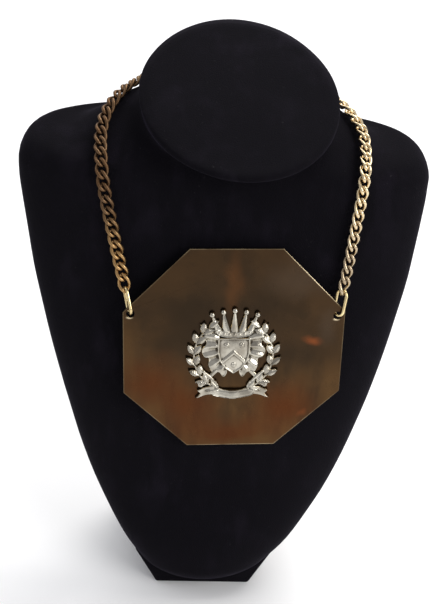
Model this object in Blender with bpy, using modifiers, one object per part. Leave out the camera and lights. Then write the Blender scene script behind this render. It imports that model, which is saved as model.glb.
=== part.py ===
"""A brass gorget with a cast badge, hung by its curb chain on a velvet neck bust.

Units are metres and +Z is up. The origin is the centre of the flat underside of the bust's foot,
+X is to the right of someone who looks at the front, and the front faces -Y.
"""

import math
from collections import namedtuple

import bmesh
import bpy
from mathutils import Matrix, Vector
from mathutils.bvhtree import BVHTree

MM = 0.001
GAP = 0.3 * MM

# Neck bust
BUST_COLUMNS = 32
BUST_STEPS = 2
FOOT_ACROSS = -2.5 * MM

# Plate
PLATE_WIDTH = 112.6 * MM
PLATE_HEIGHT = 110.8 * MM
PLATE_CUT_ACROSS = 33.1 * MM
PLATE_TOP_CUT = 33.6 * MM
PLATE_BOTTOM_CUT = 31.7 * MM
PLATE_THICKNESS = 1.2 * MM
PLATE_EDGE = 0.2 * MM
PLATE_CENTRE = Vector((6.6 * MM, -29.3 * MM, 158.5 * MM))
PLATE_LEAN = math.radians(9)
PLATE_TURN = math.radians(0.9)
PLATE_SWING = math.radians(2.1)
HOLE_RADIUS = 2.1 * MM
HOLE_SIDES = 16
HOLE_ACROSS = 52.5 * MM
LEFT_HOLE_UP = 20.9 * MM
RIGHT_HOLE_UP = 19.3 * MM

# Curb chain
LINK_WIRE = 1.75 * MM
LINK_HALF_LENGTH = 4.55 * MM
LINK_HALF_WIDTH = 2.55 * MM
LINK_TWIST = math.radians(-60)
LINK_STEPS = 12
LINK_PITCH = 5.8 * MM
LINK_LIFT = 2.7 * MM
SINGLE_LINKS = 22
NAPE_STRETCHES = 2
NAPE_MIDDLE_TWIST = math.radians(15)
ROUTE_STEPS = 12
NORMAL_EASING = 900
LEAST_UPWARD = 0.5
RIGHT_ROLL = math.radians(25)

# Jump rings
RING_WIRE = 1.6 * MM
RING_HALF_LENGTH = 6.8 * MM
RING_HALF_WIDTH = 2.9 * MM
RING_STEPS = 12
LEFT_RING_TWIST = math.radians(18)
RIGHT_RING_TWIST = math.radians(42)
RING_ABOVE_HOLE = 0.0 * MM
RING_INSIDE_LINK = 2.2 * MM

# Clasp
CLASP_HALF_WIDTH = 3.0 * MM
CLASP_STEPS = 16
CLASP_SLEEVE_RADIUS = 1.6 * MM
CLASP_SLEEVE_LENGTH = 4.5 * MM
CLASP_SLEEVE_SIDES = 10

# Sides of a round wire: 4 for bevel resolution 0, and 2 more for each step of it
LINK_ROUNDNESS = 0
RING_ROUNDNESS = 1

# Badge, in millimetres and degrees: X across, Y up, Z out of the plate
BADGE_UP = -0.3
BADGE_UNDER = -0.6
FOOTING_STEP = 0.03
WREATH_RADIUS = 20.3
WREATH_MIDDLE = -2.0
WREATH_START = -74
WREATH_END = 50
WREATH_PAIRS = 7
STEM_HALF_WIDTH = 0.6
STEM_STEPS = 8
STEM_HEIGHT = 1.0
LEAF_LENGTH = 7.0
LEAF_WIDTH = 3.6
LEAF_WIDEST = 0.45
LEAF_LEAN = 30
LEAF_EDGE_HEIGHT = 0.8
LEAF_RIDGE_HEIGHT = 1.7
SHIELD_OUTLINE = [(0, 8.5), (8.5, 8.5), (8.5, 0), (7.2, -5), (4.3, -9), (0, -12)]
SHIELD_MIDDLE = -1.0
SHIELD_FIELD_SHARE = 0.84
SHIELD_RIM_HEIGHT = 2.3
SHIELD_FIELD_HEIGHT = 1.7
CHEVRON_OUTLINE = [(-6.3, -4), (0, 2), (6.3, -4), (5.6, -6.3), (0, -1), (-5.6, -6.3)]
CHEVRON_HEIGHT = 2.4
ROUNDELS = [(-3.9, 4.3), (3.9, 4.3), (0, -6.6)]
ROUNDEL_RADIUS = 1.45
MANTLE_OUTLINE = [
    (6.5, 9.3), (9.5, 12.4), (14.2, 11.8), (16.4, 8.2), (13.4, 5.6), (16.8, 2.2), (15.6, -3),
    (12.2, -3.4), (13.4, -8), (10.4, -12.2), (7.6, -10.8), (4.6, -15.2), (2.2, -10), (7.4, -4),
]
MANTLE_HEIGHT = 1.4
CORONET_BAND = [
    (-9, 10), (-4.5, 8.6), (0, 8), (4.5, 8.6), (9, 10),
    (10, 13.6), (5, 12.2), (0, 11.7), (-5, 12.2), (-10, 13.6),
]
CORONET_HEIGHT = 2.2
CoronetPoint = namedtuple("CoronetPoint", "foot tip_across tip_up")
CORONET_POINTS = [
    CoronetPoint(-7.5, -11.5, 21),
    CoronetPoint(-3.8, -5.8, 22.4),
    CoronetPoint(0, 0, 23.2),
    CoronetPoint(3.8, 5.8, 22.4),
    CoronetPoint(7.5, 11.5, 21),
]
POINT_FOOT_UP = 10.5
POINT_FOOT_HALF_WIDTH = 2.2
POINT_TIP_HALF_WIDTH = 0.4
POINT_HEIGHT = 1.5
PEARL_RADIUS = 1.5
PEARL_HEIGHT = 0.7
POMMEL_PLACE = (16.6, -18.4)
POMMEL_RADIUS = 1.6
POMMEL_HEIGHT = 0.6
BLADE_OUTLINE = [(5, -1.1), (45, -0.9), (48.5, 0), (45, 0.9), (5, 1.1)]
BLADE_HEIGHT = 1.1
GUARD_OUTLINE = [(5.6, -4.2), (7.2, -4.2), (7.2, 4.2), (5.6, 4.2)]
GUARD_HEIGHT = 1.8
GRIP_OUTLINE = [(0, -0.8), (6.4, -0.8), (6.4, 0.8), (0, 0.8)]
GRIP_HEIGHT = 1.5
RIBBON_OUTLINE = [(0, -21.6), (6, -21.2), (11.5, -19.4), (11.5, -24), (6, -25.9), (0, -26.4)]
RIBBON_HEIGHT = 2.0
RIBBON_TAIL = [(9, -18.2), (18.5, -21.4), (16.8, -23.4), (19.5, -26.2), (9.2, -23.2)]
RIBBON_TAIL_HEIGHT = 1.2
BACK_CUT = 40

BustRing = namedtuple(
    "BustRing", "front front_up back back_up half_width front_power back_power shift twist"
)
BUST_RINGS = [  # millimetres and degrees, from the lower lip up to the neck's top disc
    BustRing(-43.5, 10.5, -31.5, 9.5, 6, 2.0, 2.0, -3, 0),
    BustRing(-47.5, 11.5, -26.5, 10, 19, 2.0, 2.0, -3, 0),
    BustRing(-50, 15.5, -20, 13, 29.5, 2.0, 2.2, -3, 0),
    BustRing(-50.5, 22, -13.5, 19, 37.5, 2.1, 2.4, -2.4, 0),
    BustRing(-48, 39, -6.5, 35.5, 50.4, 2.2, 2.8, -1, 0),
    BustRing(-38.5, 77.5, 4.5, 74, 69.6, 2.3, 3.2, 0.5, 0),
    BustRing(-30, 131, 15, 127, 85.4, 2.3, 3.4, 1, 0),
    BustRing(-21.5, 182.5, 23, 180.5, 96.2, 2.3, 3.4, 0.6, 0),
    BustRing(-16, 219, 30.5, 225.5, 101.3, 2.3, 3.4, -0.1, 0.5),
    BustRing(-14, 230.5, 34, 243.2, 102.7, 2.3, 3.2, -0.5, 0.9),
    BustRing(-12.5, 238.5, 37, 254.2, 102, 2.3, 2.9, -0.4, 0.9),
    BustRing(-11, 244.5, 39.5, 262.5, 95, 2.3, 2.9, -0.6, 0.9),
    BustRing(-10.5, 248, 41, 264.5, 77, 2.2, 2.4, -0.2, 0.8),
    BustRing(-11, 250, 43.6, 273.6, 61.8, 2.1, 2.3, 0.3, 1.1),
    BustRing(-13.5, 251.5, 45.7, 280.1, 51.2, 2.0, 2.0, 1.7, 1.8),
    BustRing(-19, 251.5, 48.7, 285.5, 47.3, 2.0, 2.0, 3.1, 2.6),
    BustRing(-25.5, 252, 54.7, 290.6, 47.7, 2.0, 1.9, 4, 2.7),
    BustRing(-28.5, 253, 61, 295.2, 48.9, 2.0, 1.9, 4.6, 2.5),
    BustRing(-27.5, 255.6, 62, 299.8, 49.2, 2.0, 1.9, 4.6, 2.2),
    BustRing(-22, 258.5, 55.8, 299.8, 45.4, 2.0, 2.0, 4.5, 2.4),
]

FootLevel = namedtuple("FootLevel", "up front back half_front half_back")
FOOT_LEVELS = [  # millimetres: the block that the chest stands on
    FootLevel(0, -38, 38, 26.3, 30),
    FootLevel(1, -39, 39, 27.3, 31),
    FootLevel(24, -38, 30, 39, 42),
    FootLevel(62, -28, 10, 46, 46),
    FootLevel(100, -18, 2, 44, 44),
]

RoutePoint = namedtuple("RoutePoint", "across depth up")
LEFT_ROUTE = [  # millimetres: the chain's middle line, from above the plate up to the nape
    RoutePoint(-50.9, -20.3, 197.5),
    RoutePoint(-53.4, -18, 208),
    RoutePoint(-55.9, -16, 219.5),
    RoutePoint(-58.3, -14.2, 230.5),
    RoutePoint(-60.1, -12.2, 240),
    RoutePoint(-61.2, -9.2, 248),
    RoutePoint(-62, -4, 253.6),
    RoutePoint(-62.4, 2, 257.8),
    RoutePoint(-62.1, 8, 261.7),
    RoutePoint(-60.8, 14, 265.3),
    RoutePoint(-58.5, 19.8, 268.2),
    RoutePoint(-55.4, 24.7, 270.5),
    RoutePoint(-52, 29.2, 272.5),
    RoutePoint(-48.3, 33.8, 274.1),
    RoutePoint(-44, 38.4, 275.3),
]
RIGHT_ROUTE = [
    RoutePoint(61.5, -19, 201),
    RoutePoint(62.5, -17, 209.5),
    RoutePoint(63.5, -15.1, 220),
    RoutePoint(64.5, -13.1, 230.5),
    RoutePoint(65.4, -10.9, 240),
    RoutePoint(66.1, -7.4, 247.6),
    RoutePoint(66.8, -1.5, 252.9),
    RoutePoint(67, 5, 256.8),
    RoutePoint(66.6, 11.5, 260.4),
    RoutePoint(64.8, 17.8, 263.5),
    RoutePoint(62.2, 22.8, 265.8),
    RoutePoint(59.2, 27.3, 267.8),
    RoutePoint(55.9, 31.4, 269.7),
    RoutePoint(52.2, 35.4, 271.5),
    RoutePoint(48.4, 39.2, 273.3),
]
NAPE_ROUTE = [
    RoutePoint(-37.5, 43.2, 276.2),
    RoutePoint(-20, 49.5, 276.5),
    RoutePoint(1, 50.5, 276.5),
    RoutePoint(22, 49.5, 276),
    RoutePoint(40, 44.5, 275.5),
]

PARTS = "gorget_on_neck_bust"


# ---- Shared steps ----

def clear_scene():
    for obj in list(bpy.data.objects):
        bpy.data.objects.remove(obj)


def new_collection(name, rendered=True):
    collection = bpy.data.collections.new(name)
    bpy.context.scene.collection.children.link(collection)
    collection.hide_render = not rendered
    return collection


def finish_of(name, colour, roughness, metallic=1.0):
    material = bpy.data.materials.new(name)
    material.use_nodes = True
    shader = material.node_tree.nodes["Principled BSDF"]
    shader.inputs["Base Color"].default_value = (*colour, 1)
    shader.inputs["Roughness"].default_value = roughness
    shader.inputs["Metallic"].default_value = metallic
    material.diffuse_color = (*colour, 1)
    return material


def put_in(name, mesh, collection, material=None):
    obj = bpy.data.objects.new(name, mesh)
    collection.objects.link(obj)
    if material:
        mesh.materials.clear()
        mesh.materials.append(material)
    return obj


def smooth(obj, angle=40):
    obj.data.shade_smooth()
    obj.data.set_sharp_from_angle(angle=math.radians(angle))


def make_cutter(obj):
    obj.hide_render = True
    obj.display_type = "WIRE"


def evaluated_mesh(obj):
    bpy.context.view_layer.update()
    graph = bpy.context.evaluated_depsgraph_get()
    return bpy.data.meshes.new_from_object(obj.evaluated_get(graph))


def apply_modifiers(obj):
    made = evaluated_mesh(obj)
    obj.modifiers.clear()
    obj.data = made


def boolean(obj, other, operation):
    modifier = obj.modifiers.new(f"{operation.title()} {other.name}", "BOOLEAN")
    modifier.object = other
    modifier.operation = operation
    modifier.solver = "EXACT"


def weld(mesh):
    cleaner = bmesh.new()
    cleaner.from_mesh(mesh)
    bmesh.ops.remove_doubles(cleaner, verts=cleaner.verts, dist=0.001 * MM)
    bmesh.ops.recalc_face_normals(cleaner, faces=cleaner.faces)
    cleaner.to_mesh(mesh)
    cleaner.free()


def from_curve(name, curve, collection, material=None):
    """The mesh that a curve's bevel or extrusion makes, as an object of its own."""
    drawn = put_in(f"{name}_line", curve, collection)
    mesh = evaluated_mesh(drawn)
    bpy.data.objects.remove(drawn)
    weld(mesh)
    return put_in(name, mesh, collection, material)


def closed_spline(curve, points):
    spline = curve.splines.new("POLY")
    spline.points.add(len(points) - 1)
    for point, place in zip(spline.points, points):
        point.co = (*place, 1)
    spline.use_cyclic_u = True


def wire_loop(name, centre_line, wire, roundness, collection, material=None):
    """A closed loop of round wire along these points."""
    curve = bpy.data.curves.new(name, "CURVE")
    curve.dimensions = "3D"
    curve.bevel_depth = wire / 2
    curve.bevel_resolution = roundness
    closed_spline(curve, centre_line)
    return from_curve(name, curve, collection, material)


def sheet(name, outline, low, high, collection, material=None):
    """A flat outline with this thickness, its underside at low and its face at high."""
    curve = bpy.data.curves.new(name, "CURVE")
    curve.dimensions = "2D"
    curve.fill_mode = "BOTH"
    curve.extrude = (high - low) / 2
    closed_spline(curve, [(x, y, 0) for x, y in outline])
    obj = from_curve(name, curve, collection, material)
    obj.data.transform(Matrix.Translation((0, 0, (high + low) / 2)))
    return obj


def round_shape(name, collection, build, **sizes):
    """An object from one of bmesh's primitives."""
    shape = bmesh.new()
    build(shape, **sizes)
    mesh = bpy.data.meshes.new(name)
    shape.to_mesh(mesh)
    shape.free()
    return put_in(name, mesh, collection)


def cylinder(name, radius, depth, sides, collection):
    return round_shape(
        name, collection, bmesh.ops.create_cone,
        cap_ends=True, segments=sides, radius1=radius, radius2=radius, depth=depth,
    )


def ball(name, radius, collection):
    return round_shape(
        name, collection, bmesh.ops.create_icosphere, subdivisions=1, radius=radius
    )


def loft(name, sections, collection, material=None):
    """Joins closed sections of equal count, with a flat face over each end."""
    count = len(sections[0])
    verts = [point for section in sections for point in section]
    faces = []
    for row in range(len(sections) - 1):
        for column in range(count):
            here = row * count + column
            beside = row * count + (column + 1) % count
            faces.append((here, beside, beside + count, here + count))
    faces.append(tuple(reversed(range(count))))
    faces.append(tuple(range(len(verts) - count, len(verts))))
    mesh = bpy.data.meshes.new(name)
    mesh.from_pydata(verts, [], faces)
    return put_in(name, mesh, collection, material)


def smooth_rows(rows, steps):
    """A Catmull-Rom curve through rows of numbers, with this many steps between two rows."""
    found = []
    for index in range(len(rows) - 1):
        before = rows[max(index - 1, 0)]
        start = rows[index]
        end = rows[index + 1]
        after = rows[min(index + 2, len(rows) - 1)]
        for step in range(steps):
            t = step / steps
            found.append([
                0.5 * (2 * b + (c - a) * t + (2 * a - 5 * b + 4 * c - d) * t**2
                       + (3 * b - a - 3 * c + d) * t**3)
                for a, b, c, d in zip(before, start, end, after)
            ])
    found.append(list(rows[-1]))
    return found


# ---- Neck bust ----

def bust_section(row):
    """One closed ring of the chest or neck: a rounded outline on a tilted plane."""
    ring = BustRing(*row)
    lean = math.radians(ring.twist)
    points = []
    for column in range(BUST_COLUMNS):
        angle = 2 * math.pi * column / BUST_COLUMNS
        power = ring.front_power if math.sin(angle) < 0 else ring.back_power
        across = math.copysign(abs(math.cos(angle)) ** (2 / power), math.cos(angle))
        along = math.copysign(abs(math.sin(angle)) ** (2 / power), math.sin(angle))
        share = (along + 1) / 2
        x = across * ring.half_width
        y = ring.front + (ring.back - ring.front) * share
        z = ring.front_up + (ring.back_up - ring.front_up) * share
        points.append(Vector((ring.shift + x * math.cos(lean), y, z - x * math.sin(lean))) * MM)
    return points


def foot_section(level):
    corners = [
        (-level.half_front, level.front),
        (level.half_front, level.front),
        (level.half_back, level.back),
        (-level.half_back, level.back),
    ]
    return [Vector((FOOT_ACROSS + x * MM, y * MM, level.up * MM)) for x, y in corners]


def build_bust(parts, helpers, velvet):
    sections = [bust_section(row) for row in smooth_rows(BUST_RINGS, BUST_STEPS)]
    bust = loft("neck_bust", sections, parts, velvet)
    foot = loft("foot_block", [foot_section(level) for level in FOOT_LEVELS], helpers)
    make_cutter(foot)
    boolean(bust, foot, "UNION")
    apply_modifiers(bust)
    weld(bust.data)
    smooth(bust, 50)
    return bust


# ---- Plate ----

def plate_matrix():
    """From the plate's own frame, X across, Y up and Z out of its face, to the world."""
    swing = Matrix.Rotation(PLATE_SWING, 4, "Z")
    stand = Matrix.Rotation(math.pi / 2 - PLATE_LEAN, 4, "X")
    turn = Matrix.Rotation(PLATE_TURN, 4, "Z")
    return Matrix.Translation(PLATE_CENTRE) @ swing @ stand @ turn


def hole_place(side):
    """The middle of one hole in the plate's own frame."""
    return Vector((side * HOLE_ACROSS, LEFT_HOLE_UP if side < 0 else RIGHT_HOLE_UP, 0))


def build_plate(parts, helpers, brass):
    half_width = PLATE_WIDTH / 2
    half_height = PLATE_HEIGHT / 2
    right = [
        (half_width - PLATE_CUT_ACROSS, -half_height),
        (half_width, PLATE_BOTTOM_CUT - half_height),
        (half_width, half_height - PLATE_TOP_CUT),
        (half_width - PLATE_CUT_ACROSS, half_height),
    ]
    outline = right + [(-x, y) for x, y in reversed(right)]
    half = PLATE_THICKNESS / 2
    plate = sheet("plate", outline, -half, half, parts, brass)
    plate.matrix_world = plate_matrix()
    for side in (-1, 1):
        name = "hole_left" if side < 0 else "hole_right"
        cutter = cylinder(name, HOLE_RADIUS, 5 * PLATE_THICKNESS, HOLE_SIDES, helpers)
        cutter.matrix_world = plate_matrix() @ Matrix.Translation(hole_place(side))
        make_cutter(cutter)
        boolean(plate, cutter, "DIFFERENCE")
    edge = plate.modifiers.new("edge", "BEVEL")
    edge.width = PLATE_EDGE
    edge.segments = 1
    edge.limit_method = "ANGLE"
    edge.angle_limit = math.radians(40)


# ---- Chain ----

def oval_line(half_length, half_width, twist, steps):
    """The middle line of a curb link: X along the chain, Y across it, Z out of it.

    It is an oval whose two ends are twisted by this angle, each the other way.
    """
    points = []
    for step in range(steps):
        angle = 2 * math.pi * (step + 0.5) / steps
        turn = twist * math.cos(angle)
        across = half_width * math.sin(angle)
        points.append(Vector((
            half_length * math.cos(angle), across * math.cos(turn), across * math.sin(turn)
        )))
    return points


def link(name, twist, collection, material=None):
    line = oval_line(LINK_HALF_LENGTH, LINK_HALF_WIDTH, twist, LINK_STEPS)
    return wire_loop(name, line, LINK_WIRE, LINK_ROUNDNESS, collection, material)


def hole_position(side):
    return plate_matrix() @ hole_place(side)


def chain_start(side, toward):
    """Where the first link's middle sits: a ring's length above the hole, in line with the chain."""
    hole = hole_position(side)
    reach = RING_ABOVE_HOLE + 2 * RING_HALF_LENGTH + RING_INSIDE_LINK
    return hole + (toward - hole).normalized() * reach


def lifted(curve, surface):
    """The line with each point at least a link's depth off the bust, and its corners eased."""
    raised = []
    for point in curve:
        near, normal, _, _ = surface.find_nearest(point)
        height = (point - near).dot(normal)
        raised.append(point + normal * max(LINK_LIFT - height, 0))
    middle = [
        (raised[index - 1] + 2 * raised[index] + raised[index + 1]) / 4
        for index in range(1, len(raised) - 1)
    ]
    return [raised[0], *middle, raised[-1]]


def outward(curve, surface):
    """The way out of the bust at each point, turning slowly from one point to the next."""
    normals = []
    for point in curve:
        normal = surface.find_nearest(point)[1]
        normals.append(Vector((normal.x, normal.y, max(normal.z, LEAST_UPWARD))).normalized())
    last = len(normals) - 1
    for _ in range(NORMAL_EASING):
        normals = [
            (normals[max(index - 1, 0)] + normals[index] + normals[min(index + 1, last)]).normalized()
            for index in range(last + 1)
        ]
    return normals


def chain_line(surface):
    """Close samples of the chain's whole middle line, with the way out of the bust at each."""
    left = [Vector(point) * MM for point in LEFT_ROUTE]
    right = [Vector(point) * MM for point in RIGHT_ROUTE]
    nape = [Vector(point) * MM for point in NAPE_ROUTE]
    start = chain_start(-1, left[0])
    end = chain_start(1, right[0])
    through = [start, *left, *nape, *reversed(right), end]
    curve = [Vector(row) for row in smooth_rows([tuple(point) for point in through], ROUTE_STEPS)]
    for _ in range(4):
        curve = lifted(curve, surface)
    return curve, outward(curve, surface)


def places_along(curve, normals):
    """Frames at equal steps along the line: X along it, Z out of the bust. Their count is even."""
    lengths = [0.0]
    for before, after in zip(curve, curve[1:]):
        lengths.append(lengths[-1] + (after - before).length)
    steps = 2 * round((lengths[-1] / LINK_PITCH - 1) / 2) + 1
    reach = ROUTE_STEPS // 3
    places = []
    for number in range(steps + 1):
        want = lengths[-1] * number / steps
        index = sum(length < want for length in lengths[1:-1])
        share = (want - lengths[index]) / (lengths[index + 1] - lengths[index])
        point = curve[index].lerp(curve[index + 1], share)
        normal = normals[index].lerp(normals[index + 1], share)
        behind = curve[max(index - reach, 0)]
        ahead = curve[min(index + reach + 1, len(curve) - 1)]
        along = (ahead - behind).normalized()
        out = (normal - along * normal.dot(along)).normalized()
        turn = Matrix((along, out.cross(along), out)).transposed().to_4x4()
        places.append(Matrix.Translation(point) @ turn)
    print(f"chain: {len(places)} places over {lengths[-1] / MM:.0f} mm")
    return places


def roll_right_run(places):
    """Leans the links of the right run over to the right, most at the plate and least at the nape."""
    for number in range(SINGLE_LINKS):
        lean = Matrix.Rotation(-RIGHT_ROLL * (1 - number / SINGLE_LINKS), 4, "X")
        places[-1 - number] = places[-1 - number] @ lean


def build_single_links(side, places, parts, brass):
    pattern = link(f"link_{side}_01", LINK_TWIST, parts, brass)
    smooth(pattern)
    pattern.matrix_world = places[0]
    for number, place in enumerate(places[1:], start=2):
        copy = put_in(f"link_{side}_{number:02d}", pattern.data, parts)
        copy.matrix_world = place


def build_stretch(name, places, parts, helpers, brass):
    """Three links as one solid: the middle one is twisted the other way, so that it meets both."""
    stretch = link(name, LINK_TWIST, parts, brass)
    stretch.matrix_world = places[0]
    for number, place in enumerate(places[1:], start=1):
        twist = LINK_TWIST if number % 2 == 0 else NAPE_MIDDLE_TWIST
        joined = link(f"{name}_link_{number}", twist, helpers)
        joined.matrix_world = place
        make_cutter(joined)
        boolean(stretch, joined, "UNION")
    apply_modifiers(stretch)
    smooth(stretch)


def build_nape(side, places, parts, helpers, brass):
    """The hidden links on one side of the clasp, numbered up to the clasp."""
    share = len(places) // NAPE_STRETCHES
    for step in range(NAPE_STRETCHES):
        number = step + 1 if side == "left" else NAPE_STRETCHES - step
        some = places[step * share:(step + 1) * share]
        build_stretch(f"nape_{side}_{number}", some, parts, helpers, brass)


def halfway(one, other):
    """The frame halfway between two frames."""
    middle = (one.translation + other.translation) / 2
    turn = one.to_quaternion().slerp(other.to_quaternion(), 0.5)
    return Matrix.Translation(middle) @ turn.to_matrix().to_4x4()


def build_clasp(place, parts, helpers, brass):
    """An oval closing link, a pitch longer than the others, with a sleeve over one side."""
    half_length = LINK_HALF_LENGTH + LINK_PITCH / 2
    line = oval_line(half_length, CLASP_HALF_WIDTH, LINK_TWIST, CLASP_STEPS)
    clasp = wire_loop("clasp", line, LINK_WIRE, RING_ROUNDNESS, parts, brass)
    clasp.matrix_world = place
    sleeve = cylinder(
        "clasp_sleeve", CLASP_SLEEVE_RADIUS, CLASP_SLEEVE_LENGTH, CLASP_SLEEVE_SIDES, helpers
    )
    along = Matrix.Rotation(math.pi / 2, 4, "Y")
    sleeve.matrix_world = place @ Matrix.Translation((0, CLASP_HALF_WIDTH, 0)) @ along
    make_cutter(sleeve)
    boolean(clasp, sleeve, "UNION")
    apply_modifiers(clasp)
    smooth(clasp)


def ring_line():
    """The middle line of a jump ring: two straight legs, X along them, and two round ends."""
    points = []
    for step in range(RING_STEPS):
        angle = 2 * math.pi * (step + 0.5) / RING_STEPS
        leg = math.copysign(RING_HALF_LENGTH - RING_HALF_WIDTH, math.cos(angle))
        bend = RING_HALF_WIDTH * math.cos(angle)
        points.append(Vector((leg + bend, 0, RING_HALF_WIDTH * math.sin(angle))))
    return points


def build_ring(side, first_link, parts, brass):
    """A long jump ring through the plate's hole and the first link's loop."""
    name = "ring_left" if side < 0 else "ring_right"
    hole = hole_position(side)
    along = (first_link.translation - hole).normalized()
    face = plate_matrix().to_3x3() @ Vector((0, 0, 1))
    out = (face - along * face.dot(along)).normalized()
    twist = LEFT_RING_TWIST if side < 0 else RIGHT_RING_TWIST
    facing = Matrix.Rotation(twist, 3, along) @ out
    turn = Matrix((along, facing.cross(along), facing)).transposed().to_4x4()
    middle = hole + along * (RING_ABOVE_HOLE + RING_HALF_LENGTH)
    ring = wire_loop(name, ring_line(), RING_WIRE, RING_ROUNDNESS, parts, brass)
    ring.matrix_world = Matrix.Translation(middle) @ turn
    smooth(ring)


# ---- Badge ----

class BadgeMaker:
    """Makes the badge's pieces in millimetres, each with an underside of its own."""

    def __init__(self, collection):
        self.collection = collection
        self.pieces = []

    def under(self):
        """Each piece starts a little lower than the last, so that no two undersides coincide."""
        return BADGE_UNDER - FOOTING_STEP * len(self.pieces) / 8

    def keep(self, obj):
        make_cutter(obj)
        self.pieces.append(obj)

    def plate(self, name, outline, height):
        scaled = [(x * MM, y * MM) for x, y in outline]
        self.keep(sheet(name, scaled, self.under() * MM, height * MM, self.collection))

    def ball(self, name, x, y, height, radius):
        made = ball(name, radius * MM, self.collection)
        made.data.transform(Matrix.Translation((x * MM, y * MM, height * MM)))
        self.keep(made)


def mirrored(outline):
    """The right half of an outline, from top to bottom, followed by its left half."""
    return outline + [(-x, y) for x, y in reversed(outline) if x > 0]


def slanted(start, along, outline):
    """An outline drawn along +X from the origin, turned to run from start in this direction."""
    cosine = math.cos(along)
    sine = math.sin(along)
    return [(start[0] + x * cosine - y * sine, start[1] + x * sine + y * cosine) for x, y in outline]


def badge_shield(maker, helpers):
    maker.plate("shield", mirrored(SHIELD_OUTLINE), SHIELD_RIM_HEIGHT)
    rim = maker.pieces[-1]
    inner = [
        (x * SHIELD_FIELD_SHARE * MM, (SHIELD_MIDDLE + (y - SHIELD_MIDDLE) * SHIELD_FIELD_SHARE) * MM)
        for x, y in mirrored(SHIELD_OUTLINE)
    ]
    above = 2 * SHIELD_RIM_HEIGHT * MM
    field = sheet("shield_field", inner, SHIELD_FIELD_HEIGHT * MM, above, helpers)
    make_cutter(field)
    boolean(rim, field, "DIFFERENCE")
    apply_modifiers(rim)
    maker.plate("chevron", CHEVRON_OUTLINE, CHEVRON_HEIGHT)
    for number, (x, y) in enumerate(ROUNDELS):
        maker.ball(f"roundel_{number}", x, y, SHIELD_FIELD_HEIGHT, ROUNDEL_RADIUS)


def badge_mantle(maker, side):
    """The cut and curled cloak that hangs on one side of the shield."""
    name = "mantle_right" if side > 0 else "mantle_left"
    maker.plate(name, [(side * x, y) for x, y in MANTLE_OUTLINE], MANTLE_HEIGHT + 0.05 * side)


def badge_coronet(maker):
    maker.plate("coronet_band", CORONET_BAND, CORONET_HEIGHT)
    for number, point in enumerate(CORONET_POINTS):
        outline = [
            (point.foot - POINT_FOOT_HALF_WIDTH, POINT_FOOT_UP),
            (point.foot + POINT_FOOT_HALF_WIDTH, POINT_FOOT_UP),
            (point.tip_across + POINT_TIP_HALF_WIDTH, point.tip_up),
            (point.tip_across - POINT_TIP_HALF_WIDTH, point.tip_up),
        ]
        maker.plate(f"coronet_point_{number}", outline, POINT_HEIGHT)
        maker.ball(f"pearl_{number}", point.tip_across, point.tip_up, PEARL_HEIGHT, PEARL_RADIUS)


def badge_sword(maker, side):
    name = "sword_right" if side > 0 else "sword_left"
    along = math.radians(90 - 45 * side)
    start = (-side * POMMEL_PLACE[0], POMMEL_PLACE[1])
    maker.plate(name + "_blade", slanted(start, along, BLADE_OUTLINE), BLADE_HEIGHT + 0.1 * side)
    maker.plate(name + "_guard", slanted(start, along, GUARD_OUTLINE), GUARD_HEIGHT)
    maker.plate(name + "_grip", slanted(start, along, GRIP_OUTLINE), GRIP_HEIGHT)
    maker.ball(name + "_pommel", *start, POMMEL_HEIGHT, POMMEL_RADIUS)


def badge_leaf(maker, name, start, along):
    """A laurel leaf: a flat pointed outline under a low roof."""
    length = LEAF_LENGTH
    width = LEAF_WIDTH
    middle = LEAF_WIDEST * length
    outline = slanted(start, along, [(0, 0), (middle, -width / 2), (length, 0), (middle, width / 2)])
    ridge = slanted(start, along, [(0.2 * length, 0), (0.8 * length, 0)])
    verts = [Vector((x, y, maker.under())) * MM for x, y in outline]
    verts += [Vector((x, y, LEAF_EDGE_HEIGHT)) * MM for x, y in outline]
    verts += [Vector((x, y, LEAF_RIDGE_HEIGHT)) * MM for x, y in ridge]
    faces = [(3, 2, 1, 0)]
    faces += [(i, (i + 1) % 4, 4 + (i + 1) % 4, 4 + i) for i in range(4)]
    faces += [(4, 5, 8), (5, 9, 8), (5, 6, 9), (6, 7, 9), (7, 8, 9), (7, 4, 8)]
    mesh = bpy.data.meshes.new(name)
    mesh.from_pydata(verts, [], faces)
    maker.keep(put_in(name, mesh, maker.collection))


def badge_branch(maker, side):
    """Half of the laurel wreath: a stem along an arc with leaves in pairs."""
    side_name = "right" if side > 0 else "left"
    arc = WREATH_END - WREATH_START
    edges = []
    for radius in (WREATH_RADIUS + STEM_HALF_WIDTH, WREATH_RADIUS - STEM_HALF_WIDTH):
        angles = [math.radians(WREATH_START + arc * step / STEM_STEPS) for step in range(STEM_STEPS + 1)]
        edges.append([
            (side * radius * math.cos(angle), WREATH_MIDDLE + radius * math.sin(angle))
            for angle in angles
        ])
    maker.plate(f"stem_{side_name}", edges[0] + edges[1][::-1], STEM_HEIGHT)
    for pair in range(WREATH_PAIRS):
        angle = WREATH_START + arc * (pair + 0.3) / WREATH_PAIRS
        across = side * math.cos(math.radians(angle)) * WREATH_RADIUS
        up = WREATH_MIDDLE + math.sin(math.radians(angle)) * WREATH_RADIUS
        for lean in (-LEAF_LEAN, LEAF_LEAN):
            along = 90 + side * (angle + lean) if side > 0 else 90 - (angle + lean)
            name = f"leaf_{side_name}_{pair}_{'in' if lean > 0 else 'out'}"
            badge_leaf(maker, name, (across, up), math.radians(along))


def badge_ribbon(maker):
    maker.plate("ribbon", mirrored(RIBBON_OUTLINE), RIBBON_HEIGHT)
    for side in (-1, 1):
        name = "ribbon_tail_right" if side > 0 else "ribbon_tail_left"
        maker.plate(name, [(side * x, y) for x, y in RIBBON_TAIL], RIBBON_TAIL_HEIGHT)


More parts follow.
